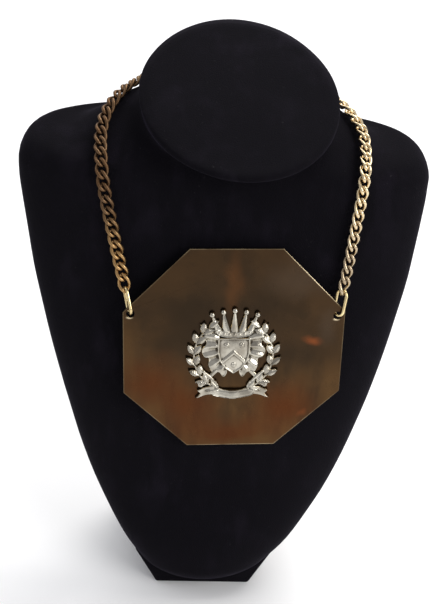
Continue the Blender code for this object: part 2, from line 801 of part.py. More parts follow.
def build_badge(parts, helpers, silver):
    """One pierced casting: wreath, crossed swords, mantled shield, coronet and bare ribbon."""
    cast = new_collection("badge pieces", rendered=False)
    maker = BadgeMaker(cast)
    badge_shield(maker, helpers)
    badge_coronet(maker)
    badge_ribbon(maker)
    for side in (-1, 1):
        badge_mantle(maker, side)
        badge_sword(maker, side)
        badge_branch(maker, side)
    for piece in maker.pieces:
        weld(piece.data)
    first = maker.pieces[0]
    cast.objects.unlink(first)
    badge = put_in("badge", first.data, parts)
    joined = badge.modifiers.new("Union of the badge's pieces", "BOOLEAN")
    joined.operand_type = "COLLECTION"
    joined.collection = cast
    joined.operation = "UNION"
    joined.solver = "EXACT"
    reach = BACK_CUT * MM
    square = [(-reach, -reach), (reach, -reach), (reach, reach), (-reach, reach)]
    under = sheet("badge_back", square, 5 * BADGE_UNDER * MM, 0, helpers)
    make_cutter(under)
    boolean(badge, under, "DIFFERENCE")
    apply_modifiers(badge)
    weld(badge.data)
    badge.data.materials.clear()
    badge.data.materials.append(silver)
    face = Matrix.Translation((0, BADGE_UP * MM, PLATE_THICKNESS / 2 + GAP))
    badge.matrix_world = plate_matrix() @ face
    smooth(badge, 30)


# ---- The whole ----

def centre_on_foot():
    """Moves everything across, so that the origin is under the foot's middle."""
    for obj in bpy.data.objects:
        obj.matrix_world = Matrix.Translation((-FOOT_ACROSS, 0, 0)) @ obj.matrix_world


def main():
    clear_scene()
    parts = new_collection(PARTS)
    helpers = new_collection("cutters", rendered=False)
    velvet = finish_of("black velvet", (0.008, 0.007, 0.010), 0.95, metallic=0.0)
    plate_brass = finish_of("plate brass", (0.30, 0.21, 0.10), 0.30)
    chain_brass = finish_of("chain brass", (0.62, 0.47, 0.22), 0.28)
    ring_brass = finish_of("ring brass", (0.75, 0.60, 0.28), 0.22)
    clasp_brass = finish_of("clasp brass", (0.70, 0.55, 0.26), 0.26)
    silver = finish_of("badge silver", (0.70, 0.69, 0.66), 0.30)
    bust = build_bust(parts, helpers, velvet)
    build_plate(parts, helpers, plate_brass)
    build_badge(parts, helpers, silver)
    surface = BVHTree.FromObject(bust, bpy.context.evaluated_depsgraph_get())
    places = places_along(*chain_line(surface))
    roll_right_run(places)
    build_single_links("left", places[:SINGLE_LINKS], parts, chain_brass)
    build_single_links("right", places[::-1][:SINGLE_LINKS], parts, chain_brass)
    build_ring(-1, places[0], parts, ring_brass)
    build_ring(1, places[-1], parts, ring_brass)
    hidden = places[SINGLE_LINKS:-SINGLE_LINKS]
    half = len(hidden) // 2 - 1
    build_nape("left", hidden[:half], parts, helpers, chain_brass)
    build_nape("right", hidden[-half:], parts, helpers, chain_brass)
    build_clasp(halfway(hidden[half], hidden[half + 1]), parts, helpers, clasp_brass)
    centre_on_foot()


main()
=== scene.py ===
# %% [markdown]
# # A brass gorget on a velvet neck bust
#
# A gorget began as the throat piece of a suit of armour. Long after armour was given up, officers went
# on wearing a small one as a badge of duty, hung from the neck by a chain. This one is an eight-sided
# brass plate with a cast silver badge. It is shown on a shop's neck bust covered in black velvet.
#
# The solid parts arrive as a fixed frame. This script gives each of them its fine surface and finish,
# and a stage to stand on. Run the cells from top to bottom: most of them print what they made or measured.

import math
from collections import namedtuple

import bmesh
import bpy
import numpy as np
from mathutils import Matrix, Vector, noise as fields


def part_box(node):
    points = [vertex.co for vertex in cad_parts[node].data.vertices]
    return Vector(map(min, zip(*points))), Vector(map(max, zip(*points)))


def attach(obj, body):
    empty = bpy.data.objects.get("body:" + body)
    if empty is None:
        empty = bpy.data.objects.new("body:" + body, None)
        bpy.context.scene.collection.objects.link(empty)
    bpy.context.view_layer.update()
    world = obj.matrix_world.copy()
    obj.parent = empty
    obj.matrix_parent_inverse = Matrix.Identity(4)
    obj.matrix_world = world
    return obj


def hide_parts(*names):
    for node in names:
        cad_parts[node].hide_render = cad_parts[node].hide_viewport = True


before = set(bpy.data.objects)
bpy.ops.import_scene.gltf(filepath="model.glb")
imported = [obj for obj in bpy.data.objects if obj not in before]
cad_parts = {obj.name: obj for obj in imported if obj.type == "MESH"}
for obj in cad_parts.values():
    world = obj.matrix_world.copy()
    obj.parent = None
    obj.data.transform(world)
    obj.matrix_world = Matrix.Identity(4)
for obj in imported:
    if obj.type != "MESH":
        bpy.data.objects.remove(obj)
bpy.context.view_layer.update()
MM = 0.001
BODY = "root"

# %% [markdown]
# ## The camera
#
# The camera stands a little to the left of the bust and looks down on it by a little more than a
# third of a right angle, the way a person looks at a shop counter. A long lens keeps the plate's
# sides almost parallel. The axes are worked out here from two angles and a roll, so that each of them can be
# changed by itself, which is harder with a rotation typed in as three Euler numbers.

# %% Camera
AIM = Vector((2.5, -27.0, 155.5)) * MM
DISTANCE = 580 * MM
LOOK_DOWN = math.radians(34.5)
FROM_LEFT = math.radians(4.0)
ROLL = math.radians(3.8)
LENS = 67.1
SHIFT = (0.004, 0.083)


def place_camera():
    ahead = Vector((
        math.sin(FROM_LEFT) * math.cos(LOOK_DOWN),
        math.cos(FROM_LEFT) * math.cos(LOOK_DOWN),
        -math.sin(LOOK_DOWN),
    ))
    level = Vector((math.cos(FROM_LEFT), -math.sin(FROM_LEFT), 0))
    upward = level.cross(ahead)
    right = level * math.cos(ROLL) + upward * math.sin(ROLL)
    above = upward * math.cos(ROLL) - level * math.sin(ROLL)
    camera = bpy.data.objects.new("camera", bpy.data.cameras.new("camera"))
    bpy.context.scene.collection.objects.link(camera)
    turn = Matrix((right, above, -ahead)).transposed().to_4x4()
    camera.matrix_world = Matrix.Translation(AIM - ahead * DISTANCE) @ turn
    camera.data.lens = LENS
    camera.data.shift_x, camera.data.shift_y = SHIFT
    bpy.context.scene.camera = camera
    return camera


place_camera()
bpy.context.scene.view_settings.view_transform = "Standard"

# %% [markdown]
# ## Floor and light
#
# Black velvet and polished metal both show their surroundings more than their own colour, so the
# stage matters. A pale floor fills the background. A large soft light stands high on the right, where
# it brightens the right half of the chain, and a weaker one fills in from the left. A third lights
# the floor behind, and a fourth stands in front like a bright room, to shape the badge. The floor in
# front of the bust gets less light than the floor behind it, and that is what a plate that leans
# back mirrors. That, together with a base colour painted dark as a painted reflection of a dim room,
# turns polished brass a deep bronze.

# %% Stage
FLOOR_RADIUS = 4.0
FLOOR_SIDES = 96
FLOOR_COLOUR = (0.94, 0.94, 0.94)
WORLD_COLOUR = (0.48, 0.48, 0.50)
LIGHTS = [  # name, where it stands and where it aims, width, all in metres, then watts and colour
    ("key light", (0.70, 0.50, 1.50), (0, 0.1, 0.1), 1.1, 16, (1.0, 0.985, 0.96)),
    ("fill light", (-1.1, 0.3, 1.2), (0, 0.1, 0.1), 1.1, 3.5, (0.95, 0.97, 1.0)),
    ("back light", (0.0, 1.5, 1.4), (0, 0.6, 0), 1.2, 11, (1, 1, 1)),
    ("room light", (1.0, -0.8, 0.75), (0, 0, 0.1), 0.9, 10, (1.0, 0.99, 0.98)),
]


def put(name, data):
    """A new object with this data, at the origin."""
    obj = bpy.data.objects.new(name, data)
    bpy.context.scene.collection.objects.link(obj)
    return obj


def mesh_from(name, shape):
    """A mesh from a bmesh, which is then let go."""
    mesh = bpy.data.meshes.new(name)
    shape.to_mesh(mesh)
    shape.free()
    return mesh


def soft_light(name, place, aim, size, power, colour):
    data = bpy.data.lights.new(name, "AREA")
    data.shape = "DISK"
    data.size = size
    data.energy = power
    data.color = colour
    light = put(name, data)
    light.location = place
    light.rotation_euler = (Vector(aim) - Vector(place)).to_track_quat("-Z", "Y").to_euler()
    return light


def build_floor():
    shape = bmesh.new()
    bmesh.ops.create_circle(shape, cap_ends=True, segments=FLOOR_SIDES, radius=FLOOR_RADIUS)
    floor = put("floor", mesh_from("floor", shape))
    paper = bpy.data.materials.new("pale floor")
    paper.use_nodes = True
    shader = paper.node_tree.nodes["Principled BSDF"]
    shader.inputs["Base Color"].default_value = (*FLOOR_COLOUR, 1)
    shader.inputs["Roughness"].default_value = 0.9
    floor.data.materials.append(paper)


def light_world():
    world = bpy.data.worlds.new("room")
    world.use_nodes = True
    world.node_tree.nodes["Background"].inputs["Color"].default_value = (*WORLD_COLOUR, 1)
    bpy.context.scene.world = world


build_floor()
light_world()
for row in LIGHTS:
    soft_light(*row)
print("stage: floor radius", FLOOR_RADIUS, "m,", len(LIGHTS), "soft lights")

# %% [markdown]
# ## Small tools for meshes
#
# Every finished piece ends up as a plain mesh that stands at the origin, with its place written into
# its points. Procedural patterns are then read in the object's own metres, and nothing slides when
# the model is exported. These helpers make a mesh from points, turn modifiers into plain faces, keep
# a number on each point, and tie the finished piece to the frame.

# %% Mesh tools
def mesh_of(name, verts, faces):
    mesh = bpy.data.meshes.new(name)
    mesh.from_pydata([tuple(v) for v in verts], [], [tuple(f) for f in faces])
    return mesh


def strips(rows, columns, closed=False):
    """Faces between neighbouring rings of points, and from the last to the first if closed."""
    for row in range(rows if closed else rows - 1):
        here, beyond = row * columns, (row + 1) % rows * columns
        for column in range(columns):
            beside = (column + 1) % columns
            yield here + column, here + beside, beyond + beside, beyond + column


def modify(obj, name, kind, **settings):
    modifier = obj.modifiers.new(name, kind)
    for key, value in settings.items():
        setattr(modifier, key, value)
    return modifier


def evaluated(obj):
    """The object's shape with its modifiers, as a mesh of its own."""
    bpy.context.view_layer.update()
    graph = bpy.context.evaluated_depsgraph_get()
    return bpy.data.meshes.new_from_object(obj.evaluated_get(graph))


def ease(obj, width, angle):
    """Rounds every edge that is sharper than this angle."""
    limit = math.radians(angle)
    modify(obj, "eased", "BEVEL", width=width, segments=3, limit_method="ANGLE", angle_limit=limit)


def carve(obj, tool, operation):
    modify(obj, "carved", "BOOLEAN", operation=operation, solver="EXACT", object=tool)


def settle(obj, *helpers):
    """Applies all the modifiers, then removes the objects that they made use of."""
    mesh = evaluated(obj)
    obj.modifiers.clear()
    obj.data = mesh
    for helper in helpers:
        bpy.data.objects.remove(helper)
    return mesh


def close_up(mesh, distance=0.001 * MM):
    """Merges doubled points and turns every face outwards."""
    cleaner = bmesh.new()
    cleaner.from_mesh(mesh)
    bmesh.ops.remove_doubles(cleaner, verts=cleaner.verts, dist=distance)
    bmesh.ops.recalc_face_normals(cleaner, faces=cleaner.faces)
    cleaner.to_mesh(mesh)
    cleaner.free()


def shade(mesh, angle):
    mesh.shade_smooth()
    mesh.set_sharp_from_angle(angle=math.radians(angle))


def join_frame(piece, slot, *nodes):
    """Ties a finished piece to the frame: its body and the solids that it stands for. The slot is not used.
    """
    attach(piece, BODY)
    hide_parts(*nodes)
    triangles = sum(len(face.vertices) - 2 for face in piece.data.polygons)
    print(f"{piece.name}: {triangles} triangles, stands for {len(nodes)} solids")


def points_of(mesh):
    flat = np.empty(3 * len(mesh.vertices))
    mesh.vertices.foreach_get("co", flat)
    return flat.reshape(-1, 3)


def store(mesh, name, values, kind="FLOAT", field="value"):
    """Keeps one value for each point, for a material or a node tree to read by this name."""
    mesh.attributes.new(name, kind, "POINT").data.foreach_set(field, np.ravel(values))


# %% [markdown]
# ## Small tools for materials
#
# A material is a graph of nodes. Building it in code stays readable when each kind of node has a
# one-line helper that takes what goes in and returns the socket that comes out, so that the code
# reads like the sum it stands for.

# %% Node tools
def add(tree, kind, inputs=None, **settings):
    """A node with these settings, and each input set to a value or joined to a socket."""
    node = tree.nodes.new(kind)
    for name, value in settings.items():
        setattr(node, name, value)
    for key, value in (inputs or {}).items():
        if isinstance(value, bpy.types.NodeSocket):
            tree.links.new(value, node.inputs[key])
        else:
            node.inputs[key].default_value = value
    return node


def maths(tree, operation, first, second=0.0):
    return add(tree, "ShaderNodeMath", {0: first, 1: second}, operation=operation).outputs[0]


def times(tree, first, second):
    return maths(tree, "MULTIPLY", first, second)


def mix(tree, share, first, second):
    """The first colour where share is 0, and the second where it is 1."""
    node = add(tree, "ShaderNodeMix", {0: share, 6: first, 7: second}, data_type="RGBA")
    return node.outputs[2]


def fade(tree, value, start, end, low=0.0, high=1.0):
    """A soft step: low up to start, high past end."""
    node = add(
        tree, "ShaderNodeMapRange", {0: value, 1: start, 2: end, 3: low, 4: high},
        interpolation_type="SMOOTHSTEP",
    )
    return node.outputs[0]


def clouds(tree, where, scale, detail=3.0, roughness=0.5):
    node = add(
        tree, "ShaderNodeTexNoise",
        {"Vector": where, "Scale": scale, "Detail": detail, "Roughness": roughness},
    )
    return node.outputs["Fac"]


def stretched(tree, where, scale):
    """The same place with each axis scaled, so that a pattern read there is drawn out."""
    return add(tree, "ShaderNodeMapping", {"Vector": where, "Scale": scale}).outputs[0]


def vectors(tree, operation, *values, output=0):
    node = add(tree, "ShaderNodeVectorMath", dict(enumerate(values)), operation=operation)
    return node.outputs[output]


def patch(tree, where, centre, size):
    """A soft round spot: 1 at its centre and 0 from its edge outwards."""
    share = vectors(tree, "DIVIDE", vectors(tree, "SUBTRACT", where, centre), size)
    return fade(tree, vectors(tree, "LENGTH", share, output="Value"), 0.0, 1.0, 1.0, 0.0)


def stained(tree, where, colour, rows):
    """Lays the tone of each row over the colour, as a soft spot of that place, size and strength."""
    for across, upward, half_width, half_height, strength, tone in rows:
        size = (half_width * MM, half_height * MM, 1)
        spot = patch(tree, where, (across * MM, upward * MM, 0), size)
        colour = mix(tree, times(tree, spot, strength), colour, (*tone, 1))
    return colour


def warped(tree, where, scale, reach):
    """The same place pushed about by soft noise, so that a spot read there has an uneven edge."""
    noise = add(tree, "ShaderNodeTexNoise", {"Vector": where, "Scale": scale}).outputs["Color"]
    push = vectors(tree, "SUBTRACT", noise, (0.5, 0.5, 0.5))
    return vectors(tree, "MULTIPLY_ADD", push, (reach, reach, 0), where)


def bump(tree, height, strength, distance, under=None):
    """A rougher surface, on top of the bumps given as under."""
    inputs = {"Height": height, "Strength": strength, "Distance": distance}
    if under:
        inputs["Normal"] = under
    return add(tree, "ShaderNodeBump", inputs).outputs[0]


def object_place(tree):
    return add(tree, "ShaderNodeTexCoord").outputs["Object"]


def axes(tree, vector):
    return add(tree, "ShaderNodeSeparateXYZ", {0: vector}).outputs


def stored(tree, name):
    return add(tree, "ShaderNodeAttribute", attribute_name=name).outputs["Fac"]


def new_group(name, kind, sockets):
    group = bpy.data.node_groups.new(name, kind)
    for in_out, socket, names in sockets:
        for each in names:
            group.interface.new_socket(each, in_out=in_out, socket_type=f"NodeSocket{socket}")
    return group


def new_material(name, metallic):
    material = bpy.data.materials.new(name)
    material.use_nodes = True
    shader = material.node_tree.nodes["Principled BSDF"]
    shader.inputs["Metallic"].default_value = metallic
    return material, material.node_tree, shader


def connect(tree, shader, **sockets):
    """Joins results to the shader's inputs, whose names have a space for each underline here."""
    for name, socket in sockets.items():
        tree.links.new(socket, shader.inputs[name.replace("_", " ")])


# %% [markdown]
# ## Handled metal
#
# All the metal here has been worn, polished and put away for years. Such metal has broad clouds of
# tarnish, small dull specks, and a haze that makes it shine unevenly. One node group makes those
# three effects for every metal piece, each with its own colours and sizes. It puts out only a
# colour, a roughness and a height, and the shader itself stays in each material.

# %% Shared group: handled metal
METAL_SOCKETS = [
    ("INPUT", "Vector", ["Place"]),
    ("INPUT", "Color", ["Bright", "Tarnish"]),
    ("INPUT", "Float", ["Cloud scale", "Tarnish share", "Smoothest", "Roughest"]),
    ("OUTPUT", "Color", ["Color"]),
    ("OUTPUT", "Float", ["Roughness", "Height"]),
]


def handled_metal_group():
    group = new_group("handled metal", "ShaderNodeTree", METAL_SOCKETS)
    given = group.nodes.new("NodeGroupInput").outputs
    shown = group.nodes.new("NodeGroupOutput").inputs
    broad = clouds(group, given["Place"], given["Cloud scale"], 4.0, 0.55)
    fine = clouds(group, given["Place"], times(group, given["Cloud scale"], 9.0), 3.0, 0.6)
    share = times(group, fade(group, broad, 0.35, 0.68), given["Tarnish share"])
    speck = times(group, fade(group, fine, 0.60, 0.72), 0.35)
    dull = maths(group, "MAXIMUM", share, speck)
    group.links.new(mix(group, dull, given["Bright"], given["Tarnish"]), shown["Color"])
    haze = add(
        group, "ShaderNodeMapRange",
        {0: broad, 1: 0.3, 2: 0.7, 3: given["Smoothest"], 4: given["Roughest"]},
    )
    group.links.new(haze.outputs[0], shown["Roughness"])
    group.links.new(fine, shown["Height"])
    return group


HANDLED_METAL = handled_metal_group()


def handled_metal(tree, place, bright, tarnish, scale, share, smoothest, roughest):
    node = tree.nodes.new("ShaderNodeGroup")
    node.node_tree = HANDLED_METAL
    tree.links.new(place, node.inputs["Place"])
    values = ((*bright, 1), (*tarnish, 1), scale, share, smoothest, roughest)
    for socket, value in zip(node.inputs[1:], values):
        socket.default_value = value
    return node.outputs


print("node group:", HANDLED_METAL.name, "with", len(HANDLED_METAL.nodes), "nodes")

# %% [markdown]
# ## The neck bust
#
# A shop's neck bust is a shell of stiff foam or card with velvet stretched over it: a flat slanted
# disc on top of the neck, narrow shoulders, a chest that falls away to a rounded lip, and a block
# behind the lip that it stands on. It could be sculpted, or cut from a ball with modifiers. A loft
# is easier to steer: each row of the table below is one ring round the form, tilted so that its
# front and back have their own heights, and a smooth curve runs through the rows.

# %% Neck bust: the form
COLUMNS = 96
STEPS = 6
ACROSS = 2.5
# Each ring, from the lower lip up to the disc: where its front is and how high, the same for its
# back, its half width, how square its front and back are (2 is an ellipse), its shift to the right,
# all in millimetres, and its tilt to the right in degrees.
RINGS = [
    (-43.5, 10.5, -31.5, 9.5, 6, 2.0, 2.0, -3, 0),
    (-47.5, 11.5, -26.5, 10, 19, 2.0, 2.0, -3, 0),
    (-50, 15.5, -20, 13, 29.5, 2.0, 2.2, -3, 0),
    (-50.5, 22, -13.5, 19, 37.5, 2.1, 2.4, -2.4, 0),
    (-48, 39, -6.5, 35.5, 50.4, 2.2, 2.8, -1, 0),
    (-38.5, 77.5, 4.5, 74, 69.6, 2.3, 3.2, 0.5, 0),
    (-30, 131, 15, 127, 85.4, 2.3, 3.4, 1, 0),
    (-21.5, 182.5, 23, 180.5, 96.2, 2.3, 3.4, 0.6, 0),
    (-16, 219, 30.5, 225.5, 101.3, 2.3, 3.4, -0.1, 0.5),
    (-14, 230.5, 34, 243.2, 102.7, 2.3, 3.2, -0.5, 0.9),
    (-12.5, 238.5, 37, 254.2, 102, 2.3, 2.9, -0.4, 0.9),
    (-11, 244.5, 39.5, 262.5, 95, 2.3, 2.9, -0.6, 0.9),
    (-10.5, 248, 41, 264.5, 77, 2.2, 2.4, -0.2, 0.8),
    (-11, 250, 43.6, 273.6, 61.8, 2.1, 2.3, 0.3, 1.1),
    (-13.5, 251.5, 45.7, 280.1, 51.2, 2.0, 2.0, 1.7, 1.8),
    (-19, 251.5, 48.7, 285.5, 47.3, 2.0, 2.0, 3.1, 2.6),
    (-25.5, 252, 54.7, 290.6, 47.7, 2.0, 1.9, 4, 2.7),
    (-28.5, 253, 61, 295.2, 48.9, 2.0, 1.9, 4.6, 2.5),
    (-27.5, 255.6, 62, 299.8, 49.2, 2.0, 1.9, 4.6, 2.2),
    (-22, 258.5, 55.8, 299.8, 45.4, 2.0, 2.0, 4.5, 2.4),
]
DISC_SHARES = (0.93, 0.82, 0.68, 0.52, 0.36, 0.2, 0.07)


def smooth_rows(rows, steps):
    """A Catmull-Rom curve through rows of numbers, with this many steps between two rows."""
    found = []
    for index in range(len(rows) - 1):
        before = np.array(rows[max(index - 1, 0)], float)
        start = np.array(rows[index], float)
        end = np.array(rows[index + 1], float)
        after = np.array(rows[min(index + 2, len(rows) - 1)], float)
        for step in range(steps):
            t = step / steps
            found.append(0.5 * (
                2 * start + (end - before) * t
                + (2 * before - 5 * start + 4 * end - after) * t**2
                + (3 * start - before - 3 * end + after) * t**3
            ))
    return found + [np.array(rows[-1], float)]


def ring_points(row):
    """One ring round the chest or neck: a rounded outline on a tilted plane."""
    front, front_up, back, back_up, half_width, front_power, back_power, shift, twist = row
    angle = 2 * np.pi * np.arange(COLUMNS) / COLUMNS
    power = np.where(np.sin(angle) < 0, front_power, back_power)
    across = np.sign(np.cos(angle)) * np.abs(np.cos(angle)) ** (2 / power)
    along = np.sign(np.sin(angle)) * np.abs(np.sin(angle)) ** (2 / power)
    share = (along + 1) / 2
    x = across * half_width
    y = front + (back - front) * share
    z = front_up + (back_up - front_up) * share - x * math.sin(math.radians(twist))
    return np.column_stack([ACROSS + shift + x * math.cos(math.radians(twist)), y, z])


def loft(name, sections):
    """Joins closed sections of equal count, with a flat face over each end."""
    count = len(sections[0])
    last = count * (len(sections) - 1)
    ends = [range(count - 1, -1, -1), range(last, last + count)]
    return mesh_of(name, np.vstack(sections) * MM, [*strips(len(sections), count), *ends])


# %% [markdown]
# The disc on top isn't left as one flat face: rings that shrink towards its middle give the velvet
# something to shade on. The foot is a plain block, and each of its edges is rounded as cloth glued
# over card would be. A Boolean then makes the two forms one closed skin.

# %% Neck bust: foot and skin
FOOT_LEVELS = [  # millimetres: height, front, back, half width at the front and at the back
    (0, -38, 38, 26.3, 30),
    (1, -39, 39, 27.3, 31),
    (24, -38, 30, 39, 42),
    (62, -28, 10, 46, 46),
    (100, -18, 2, 44, 44),
]
FOOT_ROUNDING = 1.6 * MM
SKIN_WAVE = 0.22 * MM
SKIN_WAVE_LENGTH = 22 * MM


def disc_rings(rim):
    """Rings that shrink from the rim of the top disc to its middle, which is crowned a little."""
    middle = rim.mean(axis=0)
    return [middle + (rim - middle) * share + (0, 0, 0.5 * (1 - share)) for share in DISC_SHARES]


def foot_block():
    sections = []
    for up, front, back, half_front, half_back in FOOT_LEVELS:
        corners = [(-half_front, front), (half_front, front), (half_back, back), (-half_back, back)]
        sections.append(np.array([(x, y, up) for x, y in corners], float))
    foot = put("foot block", loft("foot block", sections))
    ease(foot, FOOT_ROUNDING, 50)
    return foot


def wave_skin(mesh):
    """Cloth stretched over foam is never quite even: shallow waves, and none where it stands."""
    mesh.update()
    for vertex in mesh.vertices:
        size = fields.noise(vertex.co / SKIN_WAVE_LENGTH)
        fading = min(vertex.co.z / (8 * MM), 1)
        vertex.co += vertex.normal * (size - 0.5) * SKIN_WAVE * fading


def build_bust():
    sections = [ring_points(row) for row in smooth_rows(RINGS, STEPS)]
    sections += disc_rings(sections[-1])
    bust = put("velvet_bust", loft("velvet_bust", sections))
    foot = foot_block()
    carve(bust, foot, "UNION")
    mesh = settle(bust, foot)
    close_up(mesh)
    wave_skin(mesh)
    shade(mesh, 38)
    return bust


bust = build_bust()

# %% [markdown]
# ## Velvet
#
# Velvet is a cloth of upright hairs. Seen from above the hairs swallow the light, and seen edge-on
# their tips catch it, which is why its outline is paler than its middle. The shader's Sheen does
# just that. Touching velvet lays the hairs over in patches, so a slow cloud pattern changes the
# colour a little, and a very fine one stands for the hairs. Black cloth also shows dust, and here and
# there a cell of a Voronoi pattern is chosen to carry a dot of lint.

# %% Velvet
VELVET_DEEP = (0.0017, 0.0012, 0.0028)
VELVET_LAID = (0.0056, 0.0043, 0.0078)
VELVET_DUST = (0.040, 0.038, 0.042)
SHEEN_TINT = (0.60, 0.48, 0.90)


def velvet_material():
    material, tree, shader = new_material("black velvet", 0.0)
    place = object_place(tree)
    laid = fade(tree, clouds(tree, place, 26.0, 4.0, 0.6), 0.38, 0.70)
    brushed = fade(tree, clouds(tree, stretched(tree, place, (90, 90, 30)), 1.0, 3.0, 0.6), 0.4, 0.7)
    cloth = mix(tree, times(tree, laid, brushed), (*VELVET_DEEP, 1), (*VELVET_LAID, 1))
    specks = fade(tree, clouds(tree, place, 900.0, 2.0, 0.5), 0.70, 0.80)
    cells = add(tree, "ShaderNodeTexVoronoi", {"Vector": place, "Scale": 55.0}).outputs
    chosen = fade(tree, axes(tree, cells["Color"])["X"], 0.93, 0.94)
    lint = times(tree, fade(tree, cells["Distance"], 0.022, 0.012), chosen)
    dust = maths(tree, "MAXIMUM", times(tree, specks, 0.5), lint)
    colour = mix(tree, dust, cloth, (*VELVET_DUST, 1))
    nap = clouds(tree, place, 1600.0, 3.0, 0.7)
    connect(tree, shader, Base_Color=colour, Normal=bump(tree, nap, 0.5, 0.6 * MM))
    shader.inputs["Roughness"].default_value = 0.95
    shader.inputs["Specular IOR Level"].default_value = 0.12
    shader.inputs["Sheen Weight"].default_value = 0.040
    shader.inputs["Sheen Roughness"].default_value = 0.35
    shader.inputs["Sheen Tint"].default_value = (*SHEEN_TINT, 1)
    return material


bust.data.materials.clear()
bust.data.materials.append(velvet_material())
join_frame(bust, "velvet", "neck_bust")

# %% [markdown]
# ## The plate
#
# The plate is cut from brass sheet with eight straight sides, and its edges are eased with a file so
# that they don't catch on cloth. Its two small holes take the rings. The steps here are the maker's
# own: a flat Blender curve with some Extrude is the cut sheet, a Boolean drills each hole, and a
# Bevel modifier eases every edge at once, those of the holes as well. The broad faces stay flat
# shaded, because a smooth one would borrow the edges' normals and look dented.

# %% Plate: the form
PLATE_SIZE = (112.6 * MM, 110.8 * MM)
CUT_ACROSS = 33.1 * MM
TOP_CUT = 33.6 * MM
BOTTOM_CUT = 31.7 * MM
PLATE_THICKNESS = 1.2 * MM
PLATE_ROUNDING = 0.3 * MM
PLATE_LEAN = math.radians(9)
PLATE_TURN = math.radians(0.9)
PLATE_SWING = math.radians(2.1)
HOLES = [(-52.5, 20.9), (52.5, 19.3)]  # millimetres across and up from the middle
HOLE_RADIUS = 2.1 * MM
HOLE_SIDES = 48
FLAT_FACE = 0.999


def plate_outline():
    half_width, half_height = PLATE_SIZE[0] / 2, PLATE_SIZE[1] / 2
    right = [
        (half_width - CUT_ACROSS, -half_height), (half_width, BOTTOM_CUT - half_height),
        (half_width, half_height - TOP_CUT), (half_width - CUT_ACROSS, half_height),
    ]
    return right + [(-x, y) for x, y in reversed(right)]


def plate_frame():
    """From the plate's own axes, X across, Y up and Z out of its face, to the world."""
    swing = Matrix.Rotation(PLATE_SWING, 4, "Z")
    stand = Matrix.Rotation(math.pi / 2 - PLATE_LEAN, 4, "X")
    turn = swing @ stand @ Matrix.Rotation(PLATE_TURN, 4, "Z")
    corners = np.array([turn @ Vector((x, y, 0)) for x, y in plate_outline()])
    own_middle = (corners.min(axis=0) + corners.max(axis=0)) / 2
    low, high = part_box("plate")
    return Matrix.Translation((low + high) / 2 - Vector(own_middle)) @ turn


def drill(plate, across, upward):
    """Cuts a round hole through the plate, in the plate's own axes."""
    shape = bmesh.new()
    bmesh.ops.create_cone(
        shape, cap_ends=True, segments=HOLE_SIDES, radius1=HOLE_RADIUS, radius2=HOLE_RADIUS,
        depth=4 * PLATE_THICKNESS, matrix=Matrix.Translation((across * MM, upward * MM, 0)),
    )
    bit = put("drill", mesh_from("drill", shape))
    carve(plate, bit, "DIFFERENCE")
    return bit


def cut_sheet():
    """The bare sheet: a flat outline with a thickness."""
    curve = bpy.data.curves.new("sheet", "CURVE")
    curve.dimensions = "2D"
    curve.fill_mode = "BOTH"
    curve.extrude = PLATE_THICKNESS / 2
    outline = plate_outline()
    spline = curve.splines.new("POLY")
    spline.points.add(len(outline) - 1)
    for point, place in zip(spline.points, outline):
        point.co = (*place, 0, 1)
    spline.use_cyclic_u = True
    drawn = put("sheet", curve)
    mesh = evaluated(drawn)
    bpy.data.objects.remove(drawn)
    close_up(mesh)
    return mesh


def build_plate():
    plate = put("brass_plate", cut_sheet())
    bits = [drill(plate, *middle) for middle in HOLES]
    ease(plate, PLATE_ROUNDING, 40)
    mesh = settle(plate, *bits)
    mesh.transform(plate_frame())
    shade(mesh, 50)
    outward = plate_frame().to_3x3() @ Vector((0, 0, 1))
    for face in mesh.polygons:
        face.use_smooth = abs(face.normal.dot(outward)) < FLAT_FACE
    return plate


plate = build_plate()
